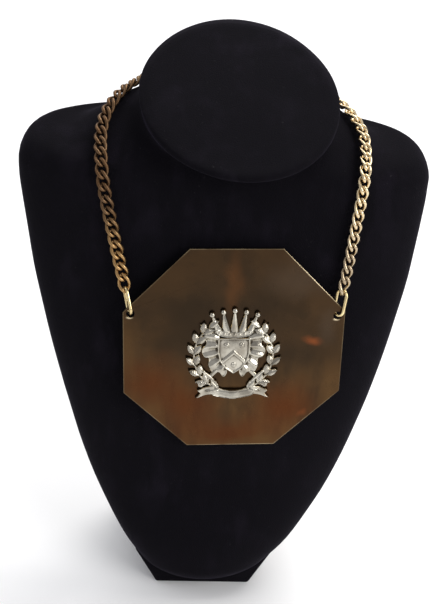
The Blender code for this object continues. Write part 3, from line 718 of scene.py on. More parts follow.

# %% [markdown]
# ## The plate's finish
#
# Old brass is rarely one colour. This plate was polished by hand in long strokes, has gone olive
# brown where the polish thinned and copper red where it was cleaned too hard, and its base tones are
# painted darker than that patina alone, as a painted reflection of the dim room in front. Its edges
# are rubbed by cloth, and along the upper right edge, the bottom and the lower rim of each hole a
# bright gold is painted on as a painted highlight, where those edges catch the light. The patterns
# are read in the plate's own axes: a Mapping node undoes the plate's lean first, so that across and
# up on the plate are across and up in the pattern.
# A table lists the stains one by one, and soft noise bends the place at which they are read, so that
# none of them keeps the outline of an ellipse.

# %% Plate: the finish
# The plate's base tones: partly its patina, and painted dark as a painted reflection of the dim room in
# front.
PLATE_BROWN = (0.062, 0.036, 0.018)
PLATE_SMOKE = (0.029, 0.021, 0.014)
PLATE_GREY = (0.082, 0.058, 0.040)
PLATE_GOLDEN = (0.104, 0.056, 0.023)
PLATE_RED = (0.094, 0.028, 0.0095)
PLATE_AMBER = (0.115, 0.050, 0.020)
PLATE_ORANGE = (0.32, 0.085, 0.026)
EDGE_WORN = (0.17, 0.125, 0.070)
# The gold of the painted highlights on the plate's edges and on the hole rims.
HIGHLIGHT_GOLD = (0.85, 0.70, 0.45)
WORN_WIDTH = 0.6 * MM
STAIN_BEND = 14 * MM
PLATE_SPOTS = [  # millimetres across and up, half width, half height, strength, tone
    (0, 10, 50, 36, 0.70, PLATE_SMOKE),
    (-18, 24, 19, 13, 0.55, PLATE_SMOKE),
    (17, 26, 14, 9, 0.40, PLATE_SMOKE),
    (-27, 1, 16, 14, 0.45, PLATE_SMOKE),
    (34, -3, 18, 12, 0.50, PLATE_SMOKE),
    (32, 40, 26, 16, 0.50, PLATE_GREY),
    (48, 14, 8, 14, 0.40, PLATE_GREY),
    (-1, 38, 7, 26, 0.65, PLATE_AMBER),
    (-43, -17, 24, 22, 0.70, PLATE_RED),
    (-25, -32, 26, 20, 0.75, PLATE_RED),
    (28, -32, 28, 20, 0.80, PLATE_RED),
    (-2, -48, 50, 16, 0.70, PLATE_RED),
    (-43, -34, 13, 10, 0.60, PLATE_GOLDEN),
    (-55, 4, 9, 34, 0.60, PLATE_GOLDEN),
    (54, -20, 9, 26, 0.60, PLATE_GOLDEN),
    (10, -55, 44, 7, 0.60, PLATE_GOLDEN),
    (-5, -38, 12, 9, 0.45, PLATE_BROWN),
    (40, 7, 7, 4, 0.55, PLATE_ORANGE),
    (38, -36, 4, 4, 0.22, PLATE_ORANGE),
]
EDGE_HIGHLIGHTS = [  # the same columns: painted highlights, where the rubbed edge catches the light
    (39, 39, 26, 26, 1.0, HIGHLIGHT_GOLD),
    (8, -56, 44, 12, 0.40, HIGHLIGHT_GOLD),
    (40, -40, 18, 18, 0.35, HIGHLIGHT_GOLD),
    (-40, -40, 22, 18, 0.15, HIGHLIGHT_GOLD),
    (-6, 56, 40, 8, 0.20, HIGHLIGHT_GOLD),
]
HOLE_RIM_HIGHLIGHTS = [  # and below each hole: a painted highlight, where the lower rim catches the light
    (across - 0.5, upward - HOLE_RADIUS / MM, 2.3, 1.0, 1.0, HIGHLIGHT_GOLD) for across, upward in HOLES
]


def plate_place(tree):
    """Metres across and up on the plate, and out of its face."""
    flat = plate_frame().inverted()
    node = add(tree, "ShaderNodeMapping", {"Vector": object_place(tree)})
    node.inputs["Rotation"].default_value = flat.to_euler()
    node.inputs["Location"].default_value = flat.translation
    return node.outputs[0]


def edge_distance(tree, place):
    """How far a spot on the plate lies inside its eight sides, in metres."""
    x = maths(tree, "ABSOLUTE", axes(tree, place)["X"])
    y = axes(tree, place)["Y"]
    half_width, half_height = PLATE_SIZE[0] / 2, PLATE_SIZE[1] / 2
    beside = maths(tree, "SUBTRACT", half_width, x)
    above = maths(tree, "SUBTRACT", half_height, maths(tree, "ABSOLUTE", y))
    nearest = maths(tree, "MINIMUM", beside, above)
    for down, upward in ((TOP_CUT, 1), (BOTTOM_CUT, -1)):
        length = math.hypot(CUT_ACROSS, down)
        reach = (half_width * down + (half_height - down) * CUT_ACROSS) / length
        across_share = times(tree, x, down / length)
        up_share = times(tree, y, upward * CUT_ACROSS / length)
        slant = maths(tree, "SUBTRACT", reach, maths(tree, "ADD", across_share, up_share))
        nearest = maths(tree, "MINIMUM", nearest, slant)
    return nearest


def plate_material():
    material, tree, shader = new_material("old plate brass", 1.0)
    place = plate_place(tree)
    metal = handled_metal(tree, place, PLATE_BROWN, PLATE_SMOKE, 34.0, 0.55, 0.20, 0.32)
    strokes = clouds(tree, stretched(tree, place, (85, 26, 60)), 1.0, 4.0, 0.6)
    lower = fade(tree, axes(tree, place)["Y"], 20 * MM, -50 * MM)
    golden = times(tree, lower, fade(tree, strokes, 0.3, 0.7))
    colour = mix(tree, golden, metal["Color"], (*PLATE_GOLDEN, 1))
    colour = stained(tree, warped(tree, place, 60.0, STAIN_BEND), colour, PLATE_SPOTS)
    border = fade(tree, edge_distance(tree, place), 0.0, WORN_WIDTH, 1.0, 0.0)
    rubbed = times(tree, border, fade(tree, strokes, 0.2, 0.6))
    # Rubbed edges, with painted highlights where they catch the light.
    colour = mix(tree, rubbed, colour, stained(tree, place, (*EDGE_WORN, 1), EDGE_HIGHLIGHTS))
    # Painted highlights on the lower rims of the holes.
    colour = stained(tree, place, colour, HOLE_RIM_HIGHLIGHTS)
    smear = clouds(tree, stretched(tree, place, (60, 35, 35)), 1.0, 5.0, 0.65)
    hazed = maths(tree, "ADD", metal["Roughness"], fade(tree, smear, 0.45, 0.75, 0.0, 0.10))
    uneven = bump(tree, clouds(tree, place, 30.0, 1.0, 0.4), 0.25, 1.5 * MM)
    scratches = clouds(tree, stretched(tree, place, (2600, 190, 400)), 1.0, 3.0, 0.7)
    fine = bump(tree, scratches, 0.12, 0.2 * MM, uneven)
    connect(tree, shader, Base_Color=colour, Roughness=hazed, Normal=fine)
    return material


plate.data.materials.append(plate_material())
join_frame(plate, "plate_brass", "plate")

# %% [markdown]
# ## The cast badge: how a relief is made
#
# The badge is one pierced casting: a laurel wreath with crossed swords behind a mantled shield, a
# coronet above it and a plain ribbon below. A founder presses a carved pattern into sand, and metal
# fills the hollow. Here each motif is pressed into a grid of heights in the same way: wherever two
# meet, the higher one shows. The same grid also knows how deep each spot lies inside the outline, so
# the open gaps are cut where no motif reaches. Sculpting or dozens of Booleans could make it too,
# but a relief of formulas keeps leaf veins and beading crisp, and it can't leave a torn mesh.

# %% Badge: the relief grid
RELIEF_STEP = 0.2
RELIEF_REACH = (27.0, 29.0)
CAST_FOOT = 0.75
OUTSIDE = -9.0


class Relief:
    """Heights in millimetres on a grid, and how far inside the casting each spot lies."""

    def __init__(self):
        across = np.arange(-RELIEF_REACH[0], RELIEF_REACH[0] + RELIEF_STEP / 2, RELIEF_STEP)
        upward = np.arange(-RELIEF_REACH[1], RELIEF_REACH[1] + RELIEF_STEP / 2, RELIEF_STEP)
        self.x, self.y = np.meshgrid(across, upward)
        self.inside = np.full(self.x.shape, OUTSIDE)
        self.height = np.zeros(self.x.shape)

    def depth(self, outline):
        return depth_inside(outline, self.x, self.y)

    def away(self, centre):
        return np.hypot(self.x - centre[0], self.y - centre[1])

    def lay(self, inside, raised):
        """Adds a motif, whose inside is its depth from its own outline."""
        self.height = np.where(inside > 0, np.maximum(self.height, raised), self.height)
        self.inside = np.maximum(self.inside, inside)

    def press(self, inside, height, edge=0.45):
        """Adds a motif whose edge is rounded over."""
        rounding = np.sqrt(1 - (1 - np.clip(inside / edge, 0, 1)) ** 2)
        self.lay(inside, CAST_FOOT + (height - CAST_FOOT) * rounding)

    def ball(self, centre, radius, height):
        """A round boss whose middle is this high."""
        away = self.away(centre)
        dome = height - radius + np.sqrt(np.clip(radius**2 - away**2, 0, None))
        self.lay(radius - away, np.maximum(dome, CAST_FOOT))


def depth_inside(outline, x, y):
    """How far each spot lies inside a closed outline. Outside it, the distance is negative."""
    nearest = np.full(x.shape, 99.0)
    odd = np.zeros(x.shape, bool)
    for (ax, ay), (bx, by) in zip(outline, outline[1:] + outline[:1]):
        run_x, run_y = bx - ax, by - ay
        share = np.clip(((x - ax) * run_x + (y - ay) * run_y) / (run_x**2 + run_y**2), 0, 1)
        away = np.hypot(x - ax - share * run_x, y - ay - share * run_y)
        nearest = np.minimum(nearest, away)
        crosses = (ay > y) != (by > y)
        where = ax + (y - ay) * run_x / (run_y if run_y else 1e-9)
        odd ^= crosses & (x < where)
    return np.where(odd, nearest, -nearest)


def rounded(outline, rounds):
    """Cuts the corners of an outline, so that a few points make a curve."""
    for _ in range(rounds):
        cut = []
        for (ax, ay), (bx, by) in zip(outline, outline[1:] + outline[:1]):
            cut.append((0.75 * ax + 0.25 * bx, 0.75 * ay + 0.25 * by))
            cut.append((0.25 * ax + 0.75 * bx, 0.25 * ay + 0.75 * by))
        outline = cut
    return outline


def mirrored(outline):
    """The right half of an outline, from top to bottom, followed by its left half."""
    return outline + [(-x, y) for x, y in reversed(outline) if x > 0]


def on_side(side, outline):
    """An outline drawn on the right, or its mirror image for the left, where side is -1."""
    return [(side * x, y) for x, y in outline]


relief = Relief()
print("relief grid:", relief.x.shape, "every", RELIEF_STEP, "mm")

# %% [markdown]
# ### Laurel, swords and mantling
#
# The motifs that lie at the back are pressed first. A leaf is drawn along its own axis: a width that
# swells and closes again, a roof that rises to the midrib, and slanting veins. A sword blade has the
# same roof with a groove along it. The mantling is the torn cloak of a helmet, and its folds fan out
# from the shield.

# %% Badge: laurel, swords, mantling
WREATH_RADIUS = 20.3
WREATH_MIDDLE = -2.0
WREATH_ARC = (-74, 50)
WREATH_PAIRS = 7
BERRY_RADIUS = 21.9
LEAF_SIZE = (7.0, 3.6)
LEAF_LEAN = 30
POMMEL = (16.6, -18.4)
POMMEL_RADIUS = 1.6
GRIP_LENGTH = 6.2
GRIP_RADIUS = 0.85
GUARD_REACH = 4.3
BLADE = [(5, -1.1), (45, -0.9), (48.5, 0), (45, 0.9), (5, 1.1)]
GUARD = [(5.5, -GUARD_REACH), (7.3, -GUARD_REACH), (7.3, GUARD_REACH), (5.5, GUARD_REACH)]
MANTLE = [
    (6.5, 9.3), (9.5, 12.4), (14.2, 11.8), (16.4, 8.2), (13.4, 5.6), (16.8, 2.2), (15.6, -3),
    (12.2, -3.4), (13.4, -8), (10.4, -12.2), (7.6, -10.8), (4.6, -15.2), (2.2, -10), (7.4, -4),
]


def along_axis(start, degrees):
    """Each spot as a distance along a line from start, and a distance to its left."""
    cosine, sine = math.cos(math.radians(degrees)), math.sin(math.radians(degrees))
    dx, dy = relief.x - start[0], relief.y - start[1]
    return dx * cosine + dy * sine, dy * cosine - dx * sine


def from_axis(start, degrees, along, beside):
    """The spot that has these distances."""
    cosine, sine = math.cos(math.radians(degrees)), math.sin(math.radians(degrees))
    return start[0] + along * cosine - beside * sine, start[1] + along * sine + beside * cosine


def on_wreath(side, degrees, radius):
    angle = math.radians(degrees)
    return side * math.cos(angle) * radius, WREATH_MIDDLE + math.sin(angle) * radius


def press_leaf(start, degrees, lift):
    length, width = LEAF_SIZE
    u, v = along_axis(start, degrees)
    share = np.clip(u / length, 0, 1)
    half = 0.5 * width * np.sin(np.pi * share**0.85) ** 0.8
    inside = np.where((u > 0) & (u < length), half - np.abs(v), OUTSIDE)
    roof = 1 - np.abs(v) / np.maximum(half, 0.05)
    veins = 0.09 * np.sin(2 * np.pi * (u - 0.8 * np.abs(v)) / 1.0) * np.clip(np.abs(v) / 0.4, 0, 1)
    midrib = 0.18 * np.exp(-(v / 0.22) ** 2)
    curl = 0.35 * np.sin(np.pi * share)
    relief.press(inside, 0.9 + lift + curl + 0.85 * np.clip(roof, 0, 1) + veins + midrib, 0.35)


def press_branch(side):
    start, end = WREATH_ARC
    turn = np.degrees(np.arctan2(relief.y - WREATH_MIDDLE, side * relief.x))
    band = 0.6 - np.abs(relief.away((0, WREATH_MIDDLE)) - WREATH_RADIUS)
    relief.press(np.where((turn > start) & (turn < end), band, OUTSIDE), 1.25, 0.6)
    for pair in range(WREATH_PAIRS):
        angle = start + (end - start) * (pair + 0.3) / WREATH_PAIRS
        for lean in (-LEAF_LEAN, LEAF_LEAN):
            foot = on_wreath(side, angle, WREATH_RADIUS)
            press_leaf(foot, 90 + side * (angle + lean), 0.12 if lean > 0 else 0.0)
        relief.ball(on_wreath(side, angle + 8, BERRY_RADIUS), 0.75, 1.7)
    press_leaf(on_wreath(side, end, WREATH_RADIUS), 90 + side * end, 0.1)


def press_sword(side):
    start = (-side * POMMEL[0], POMMEL[1])
    degrees = 90 - 45 * side
    u, v = along_axis(start, degrees)
    blade = depth_inside(BLADE, u, v)
    ridge = 1.0 + 0.1 * side + 0.35 * (1 - np.clip(np.abs(v) / 1.1, 0, 1))
    groove = 0.16 * np.exp(-(v / 0.2) ** 2) * ((u > 8) & (u < 38))
    relief.press(blade, ridge - groove, 0.25)
    grip = np.where((u > 0) & (u < GRIP_LENGTH), GRIP_RADIUS - np.abs(v), OUTSIDE)
    wire = 0.1 * np.sin(2 * np.pi * (u + 0.5 * v) / 0.75)
    belly = np.sqrt(np.clip(1 - (v / GRIP_RADIUS) ** 2, 0, 1))
    relief.press(grip, 1.35 + 0.35 * belly + wire, 0.3)
    relief.press(depth_inside(rounded(GUARD, 1), u, v), 1.75, 0.7)
    for end in (-GUARD_REACH, GUARD_REACH):
        relief.ball(from_axis(start, degrees, 6.4, end), 0.95, 1.95)
    relief.ball(start, POMMEL_RADIUS, 2.2)


def press_mantle(side):
    inside = relief.depth(rounded(on_side(side, MANTLE), 2))
    across, upward = side * relief.x + 4.0, relief.y - 1.0
    folds = np.sin(19 * np.arctan2(upward, across) + 0.28 * np.hypot(across, upward))
    belly = np.clip(inside / 2.6, 0, 1)
    relief.press(inside, 1.2 + 0.50 * folds * np.clip(inside / 0.8, 0, 1) + 0.45 * belly, 0.5)


for side in (-1, 1):
    press_sword(side)
    press_branch(side)
    press_mantle(side)
print("behind the shield: highest spot", relief.height.max().round(2), "mm")

# %% [markdown]
# ### Shield, coronet and ribbon
#
# The motifs in front stand highest. The shield has a raised rim, a lined ground and a chevron
# between three roundels, figures that stand for no particular family. The coronet's band carries
# beads and jewels, and each of its points ends in a pearl. The ribbon is left bare.

# %% Badge: shield, coronet, ribbon
SHIELD = [(0, 8.5), (8.5, 8.5), (8.5, 0), (7.2, -5), (4.3, -9), (0, -12)]
SHIELD_RIM = 1.3
CHEVRON = [(-6.3, -4), (0, 2), (6.3, -4), (5.6, -6.3), (0, -1), (-5.6, -6.3)]
ROUNDELS = [(-3.9, 4.3), (3.9, 4.3), (0, -6.6)]
CORONET_BAND = [
    (-9, 10), (-4.5, 8.6), (0, 8), (4.5, 8.6), (9, 10),
    (10, 13.6), (5, 12.2), (0, 11.7), (-5, 12.2), (-10, 13.6),
]
CORONET_POINTS = [  # where the foot is across, where the tip is across, and how high the tip is
    (-7.5, -11.5, 21), (-3.8, -5.8, 22.4), (0, 0, 23.2), (3.8, 5.8, 22.4), (7.5, 11.5, 21),
]
RIBBON = [(0, -21.6), (6, -21.2), (11.5, -19.4), (11.5, -24), (6, -25.9), (0, -26.4)]
RIBBON_TAIL = [(9, -18.2), (18.5, -21.4), (16.8, -23.4), (19.5, -26.2), (9.2, -23.2)]


def press_shield():
    inside = relief.depth(mirrored(SHIELD))
    rim = np.clip(SHIELD_RIM - inside, 0, SHIELD_RIM) / SHIELD_RIM
    domed = 0.75 * (1 - (relief.x / 8.5) ** 2) * (1 - ((relief.y + 1.5) / 11) ** 2)
    ground = 1.35 + domed + 0.05 * np.sin(2 * np.pi * relief.x / 0.8)
    high = np.where(inside < SHIELD_RIM, 1.45 + 0.85 * np.sin(np.pi * rim) ** 0.6, ground)
    relief.press(inside, high, 0.3)
    chevron = relief.depth(CHEVRON)
    relief.press(chevron, ground + 0.35 + 0.3 * np.clip(chevron / 0.9, 0, 1), 0.3)
    for centre in ROUNDELS:
        away = relief.away(centre)
        petals = 0.12 * np.cos(6 * np.arctan2(relief.y - centre[1], relief.x - centre[0]))
        relief.press(1.5 - away, ground + 0.45 + petals * np.clip(away / 0.6, 0, 1), 0.35)
        relief.ball(centre, 0.55, 2.7)


def press_coronet():
    for foot, tip, tip_up in CORONET_POINTS:
        inside = relief.depth([
            (foot - 2.5, 10.5), (foot + 2.5, 10.5), (tip + 0.55, tip_up), (tip - 0.55, tip_up),
        ])
        relief.press(inside, 1.1 + 1.1 * np.clip(inside / 1.6, 0, 1), 0.25)
        relief.ball((tip, tip_up), 1.5, 2.5)
    inside = relief.depth(rounded(CORONET_BAND, 1))
    border = np.exp(-((inside - 0.45) / 0.28) ** 2)
    relief.press(inside, 2.0 + 0.3 * border, 0.3)
    for number in range(-3, 4):
        across = 2.55 * number
        radius, height = (0.6, 2.5) if number % 2 else (0.85, 2.75)
        relief.ball((across, 10.0 + 0.021 * across**2), radius, height)


def press_ribbon():
    for side in (-1, 1):
        roll = 0.45 * np.sin(0.9 * (side * relief.x - 9))
        relief.press(relief.depth(on_side(side, RIBBON_TAIL)), 1.5 + roll, 0.3)
        relief.ball((side * 12.1, -21.7), 1.0, 1.9)
    inside = relief.depth(rounded(mirrored(RIBBON), 1))
    border = np.exp(-((inside - 0.7) / 0.22) ** 2)
    wave = 0.35 * np.cos(2 * np.pi * relief.x / 11.5) - 0.12 * (relief.y + 23.5)
    relief.press(inside, 1.95 + wave - 0.25 * border, 0.45)


press_shield()
press_coronet()
press_ribbon()
print("with the shield: highest spot", relief.height.max().round(2), "mm")

# %% [markdown]
# ### From grid to metal
#
# Each grid square that lies wholly inside becomes a face, and squares on the outline are clipped to
# it, so that edges run smooth instead of in steps. The same faces, turned over, close the back, and
# a wall joins the two along every outline and gap. Two numbers are stored on the points for the
# finish: how deep a spot lies below its surroundings, and how near it is to the outline.

# %% Badge: the mesh
BADGE_LIFT = (0, -0.3, 0.9)
LEAST_CLIP = 0.04


def softened(values, radius):
    """The mean over a square window, taken twice, which is close to a soft round blur."""
    width = 2 * radius + 1
    window = np.ones(width) / width
    for _ in range(2):
        for axis in (0, 1):
            values = np.apply_along_axis(np.convolve, axis, values, window, "same")
    return values


class Casting:
    """Turns the relief into points and faces, and keeps two numbers for each point."""

    def __init__(self, recess, rim):
        self.recess = recess
        self.rim = rim
        self.points = []
        self.marks = []
        self.known = {}

    def keep(self, key, point, marks):
        self.known[key] = len(self.points)
        self.points.append(point)
        self.marks.append(marks)

    def corner(self, key):
        if key not in self.known:
            point = (relief.x[key], relief.y[key], relief.height[key])
            self.keep(key, point, (self.recess[key], self.rim[key]))
        return self.known[key]

    def crossing(self, one, other):
        """The point where the outline cuts the line between two corners of the grid."""
        key = (min(one, other), max(one, other))
        if key not in self.known:
            first, second = key
            a, b = relief.inside[first], relief.inside[second]
            share = min(max(a / (a - b), LEAST_CLIP), 1 - LEAST_CLIP)
            x = relief.x[first] + (relief.x[second] - relief.x[first]) * share
            y = relief.y[first] + (relief.y[second] - relief.y[first]) * share
            self.keep(key, (x, y, CAST_FOOT), (1.0, 1.0))
        return self.known[key]


def cast_badge():
    recess = np.clip((softened(relief.height, 4) - relief.height) / 0.45 + 0.15, 0, 1)
    rim = np.clip(1 - relief.inside / 0.6, 0, 1)
    casting = Casting(recess, rim)
    solid = relief.inside > 0
    faces = []
    walls = []
    rows, columns = np.nonzero(solid[:-1, :-1] | solid[1:, :-1] | solid[:-1, 1:] | solid[1:, 1:])
    for row, column in zip(rows.tolist(), columns.tolist()):
        corners = [(row, column), (row, column + 1), (row + 1, column + 1), (row + 1, column)]
        face = []
        cuts = []
        for here, after in zip(corners, corners[1:] + corners[:1]):
            if solid[here]:
                face.append(casting.corner(here))
            if solid[here] != solid[after]:
                cuts.append((len(face), solid[here]))
                face.append(casting.crossing(here, after))
        faces.append(face)
        for place, leaving in cuts:
            if leaving:
                walls.append((face[place], face[(place + 1) % len(face)]))
    return casting, faces, walls


def build_badge():
    casting, faces, walls = cast_badge()
    count = len(casting.points)
    top = np.array(casting.points)
    under = top * (1, 1, 0)
    shell = [tuple(face) for face in faces]
    shell += [tuple(point + count for point in reversed(face)) for face in faces]
    shell += [(end, start, start + count, end + count) for start, end in walls]
    place = plate_frame() @ Matrix.Translation(Vector(BADGE_LIFT) * MM) @ Matrix.Scale(MM, 4)
    mesh = mesh_of("silver_badge", np.vstack([top, under]), shell)
    mesh.transform(place)
    marks = np.array(casting.marks)
    for column, name in enumerate(("recess", "rim")):
        store(mesh, name, np.concatenate([marks[:, column], np.ones(count)]))
    shade(mesh, 60)
    return put("silver_badge", mesh)


badge = build_badge()

# %% [markdown]
# ## Silver with a warm edge
#
# A badge like this is polished with a cloth, which reaches its high spots and leaves a dark line of
# old polish in every corner. Along the outline the plating is thin and the yellow metal below it
# shows. Both effects follow the numbers that were stored on the points.

# %% Badge: the finish
SILVER = (0.57, 0.54, 0.46)
SILVER_DULL = (0.24, 0.21, 0.165)
POLISH_LEFT = (0.045, 0.032, 0.020)
THIN_PLATING = (0.62, 0.46, 0.20)


def silver_material():
    material, tree, shader = new_material("badge silver", 1.0)
    place = object_place(tree)
    metal = handled_metal(tree, place, SILVER, SILVER_DULL, 120.0, 0.75, 0.07, 0.16)
    edge = times(tree, fade(tree, stored(tree, "rim"), 0.35, 1.0), 0.75)
    colour = mix(tree, edge, metal["Color"], (*THIN_PLATING, 1))
    deep = fade(tree, stored(tree, "recess"), 0.30, 0.85)
    colour = mix(tree, times(tree, deep, 0.92), colour, (*POLISH_LEFT, 1))
    rough = maths(tree, "ADD", metal["Roughness"], times(tree, deep, 0.3))
    grain = bump(tree, metal["Height"], 0.15, 0.2 * MM)
    connect(tree, shader, Base_Color=colour, Roughness=rough, Normal=grain)
    return material


badge.data.materials.append(silver_material())
join_frame(badge, "badge_silver", "badge")

# %% [markdown]
# ## The curb chain: its finish
#
# The chain was gilt once. Its right half still shines and turns greyer lower down. Its left half is
# browner brass, painted darker still as painted shade for the dim left side of the room, and paler
# lower down. Each link is darker where it comes close to the next. One material does for the whole
# chain: the colour changes with the place, read in the object's own metres, and with two numbers on
# the points, one for each link's age and one for how near the next link is.

# %% Chain: the finish
GILT = (0.95, 0.78, 0.50)
GILT_DULL = (0.62, 0.48, 0.30)
# Browner brass painted darker, as painted shade for the chain's left half, and a paler kind for lower down.
SHADED_BROWN = (0.100, 0.044, 0.017)
PALER_SHADED_BROWN = (0.52, 0.32, 0.13)
GREYED = (0.44, 0.35, 0.24)
NAPE_BROWN = (0.42, 0.29, 0.15)
CONTACT_DARK = (0.07, 0.04, 0.02)


def chain_material():
    material, tree, shader = new_material("chain brass", 1.0)
    place = object_place(tree)
    metal = handled_metal(tree, place, GILT, GILT_DULL, 160.0, 0.7, 0.14, 0.28)
    across, behind, up = axes(tree, place)
    low = fade(tree, up, 232 * MM, 205 * MM)
    left = mix(tree, low, (*SHADED_BROWN, 1), (*PALER_SHADED_BROWN, 1))
    right = mix(tree, times(tree, low, 0.8), metal["Color"], (*GREYED, 1))
    # Painted shade: the left half takes the darker browns, for the dim left side of the room.
    colour = mix(tree, fade(tree, across, 12 * MM, -12 * MM, 0.0, 0.92), right, left)
    colour = mix(tree, fade(tree, behind, 25 * MM, 55 * MM), colour, (*NAPE_BROWN, 1))
    colour = mix(tree, times(tree, stored(tree, "shade"), 0.25), colour, (*SHADED_BROWN, 1))
    # Darker where a point lies close to the next link's wire.
    rubbed = fade(tree, stored(tree, "contact"), 0.2, 1.0, 0.0, 0.9)
    colour = mix(tree, rubbed, colour, (*CONTACT_DARK, 1))
    matt = fade(tree, up, 190 * MM, 240 * MM, 0.1, 0.25)
    duller = times(tree, fade(tree, across, 12 * MM, -12 * MM), matt)
    rough = maths(tree, "ADD", metal["Roughness"], duller)
    grain = bump(tree, metal["Height"], 0.1, 0.2 * MM)
    connect(tree, shader, Base_Color=colour, Roughness=rough, Normal=grain)
    return material


CHAIN_FINISH = chain_material()
print("finish:", CHAIN_FINISH.name, "with", len(CHAIN_FINISH.node_tree.nodes), "nodes")

# %% [markdown]
# ### One link, set at every place
#
# A curb chain is made of oval links that are each given a quarter twist, so that they lie flat in a
# row. All of its links are one shape, which makes it work for Geometry Nodes. The tree draws the
# link once: a circle is drawn out to an oval, and each point is turned round the long axis by an
# angle that grows towards the two ends, each the other way. Curve to Mesh gives it a round wire.
# Instance on Points then sets one at every place, turned by an angle that is stored there. Each link
# also gets a random number of its own for its colour.

# %% Chain: the link tree
LINK_WIRE = 1.75 * MM
LINK_HALF_LENGTH = 4.55 * MM
LINK_HALF_WIDTH = 2.55 * MM
LINK_TWIST = math.radians(-60)
LINK_STEPS = 40
LINK_SIDES = 14
LINK_SOCKETS = [
    ("INPUT", "Geometry", ["Places"]),
    ("INPUT", "Float", ["Wire", "Half length", "Half width", "Twist"]),
    ("INPUT", "Int", ["Steps", "Sides", "Seed"]),
    ("OUTPUT", "Geometry", ["Chain"]),
]


def link_tree():
    tree = new_group("curb links", "GeometryNodeTree", LINK_SOCKETS)
    given = tree.nodes.new("NodeGroupInput").outputs
    shown = tree.nodes.new("NodeGroupOutput").inputs
    ring = add(tree, "GeometryNodeCurvePrimitiveCircle", {"Resolution": given["Steps"], "Radius": 1.0})
    x, y, _ = axes(tree, add(tree, "GeometryNodeInputPosition").outputs[0])
    turned = times(tree, x, given["Twist"])
    across = times(tree, y, given["Half width"])
    oval = add(tree, "ShaderNodeCombineXYZ", {
        "X": times(tree, x, given["Half length"]),
        "Y": times(tree, across, maths(tree, "COSINE", turned)),
        "Z": times(tree, across, maths(tree, "SINE", turned)),
    })
    line = add(tree, "GeometryNodeSetPosition", {"Geometry": ring.outputs[0], "Position": oval.outputs[0]})
    section = add(tree, "GeometryNodeCurvePrimitiveCircle", {
        "Resolution": given["Sides"], "Radius": times(tree, given["Wire"], 0.5),
    })
    wire = add(tree, "GeometryNodeCurveToMesh", {
        "Curve": line.outputs[0], "Profile Curve": section.outputs[0],
    })
    turn = add(tree, "GeometryNodeInputNamedAttribute", {"Name": "turn"}, data_type="FLOAT_VECTOR")
    angles = add(tree, "FunctionNodeEulerToRotation", {0: turn.outputs["Attribute"]})
    links = add(tree, "GeometryNodeInstanceOnPoints", {
        "Points": given["Places"], "Instance": wire.outputs[0], "Rotation": angles.outputs[0],
    })
    chance = add(tree, "FunctionNodeRandomValue", {"Seed": given["Seed"]}, data_type="FLOAT")
    marked = add(tree, "GeometryNodeStoreNamedAttribute", {
        "Geometry": links.outputs[0], "Name": "shade", "Value": chance.outputs[1],
    }, data_type="FLOAT", domain="INSTANCE")
    real = add(tree, "GeometryNodeRealizeInstances", {0: marked.outputs[0]})
    even = add(tree, "GeometryNodeSetShadeSmooth", {"Geometry": real.outputs[0]})
    done = add(tree, "GeometryNodeSetMaterial", {"Geometry": even.outputs[0], "Material": CHAIN_FINISH})
    tree.links.new(done.outputs[0], shown["Chain"])
    return tree


LINK_TREE = link_tree()
print("link tree:", len(LINK_TREE.nodes), "nodes")

# %% [markdown]
# ### Where each link lies
#
# The frame already holds a plain solid for every link that shows, so its place is read from there.
# The spread of a solid's corner points has three main directions: the longest is the way the chain
# runs, the middle one lies across it, and the shortest points out of the bust. Behind the neck the
# links are joined in short runs of three, so a smooth curve through the middles of the runs gives
# the places between.

# %% Chain: places
SINGLE_LINKS = 22
NAPE_RUNS = 2
RUN_LINKS = 3
NECK_MIDDLE = Vector((2.5, 15.0)) * MM
LIFT_OUTWARDS = 20 * MM
Place = namedtuple("Place", "number middle turn")


def single_names(side):
    return [f"link_{side}_{n + 1:02d}" for n in range(SINGLE_LINKS)]


def run_names(side):
    return [f"nape_{side}_{n + 1}" for n in range(NAPE_RUNS)]


def solid_frame(node):
    """A solid's middle and its main directions as columns, longest first, right-handed."""
    points = np.unique(points_of(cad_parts[node].data).round(7), axis=0)
    middle = points.mean(axis=0)
    spread, directions = np.linalg.eigh(np.cov((points - middle).T))
    turn = directions[:, np.argsort(spread)[::-1]]
    if np.linalg.det(turn) < 0:
        turn[:, 2] *= -1
    return middle, turn


def known_places():
    """Every solid of the chain, numbered by links along it. The clasp takes the room of two."""
    first_run = SINGLE_LINKS + 1
    next_run = first_run + RUN_LINKS * NAPE_RUNS + 2
    last = next_run + RUN_LINKS * NAPE_RUNS - 1
    names = list(enumerate(single_names("left")))
    names += [(first_run + RUN_LINKS * n, name) for n, name in enumerate(run_names("left"))]
    names += [(first_run + RUN_LINKS * NAPE_RUNS - 0.5, "clasp")]
    names += [(next_run + RUN_LINKS * n, name) for n, name in enumerate(run_names("right")[::-1])]
    names += [(last + n, name) for n, name in enumerate(single_names("right")[::-1])]
    return [Place(number, *solid_frame(name)) for number, name in names]


def curve_between(numbers, values, want):
    """A cubic through values at uneven numbers, read at want."""
    index = int(np.clip(np.searchsorted(numbers, want) - 1, 0, len(numbers) - 2))
    lower, upper = numbers[index], numbers[index + 1]
    slopes = []
    for place in (index, index + 1):
        before, after = max(place - 1, 0), min(place + 1, len(numbers) - 1)
        slopes.append((values[after] - values[before]) / (numbers[after] - numbers[before]))
    span = upper - lower
    t = (want - lower) / span
    return (
        (2 * t**3 - 3 * t**2 + 1) * values[index] + (t**3 - 2 * t**2 + t) * span * slopes[0]
        + (3 * t**2 - 2 * t**3) * values[index + 1] + (t**3 - t**2) * span * slopes[1]
    )


CHAIN = known_places()
CHAIN_NUMBERS = np.array([place.number for place in CHAIN], float)
CHAIN_MIDDLES = np.array([place.middle for place in CHAIN])
print("chain:", len(CHAIN), "solids, numbered up to", CHAIN_NUMBERS[-1])


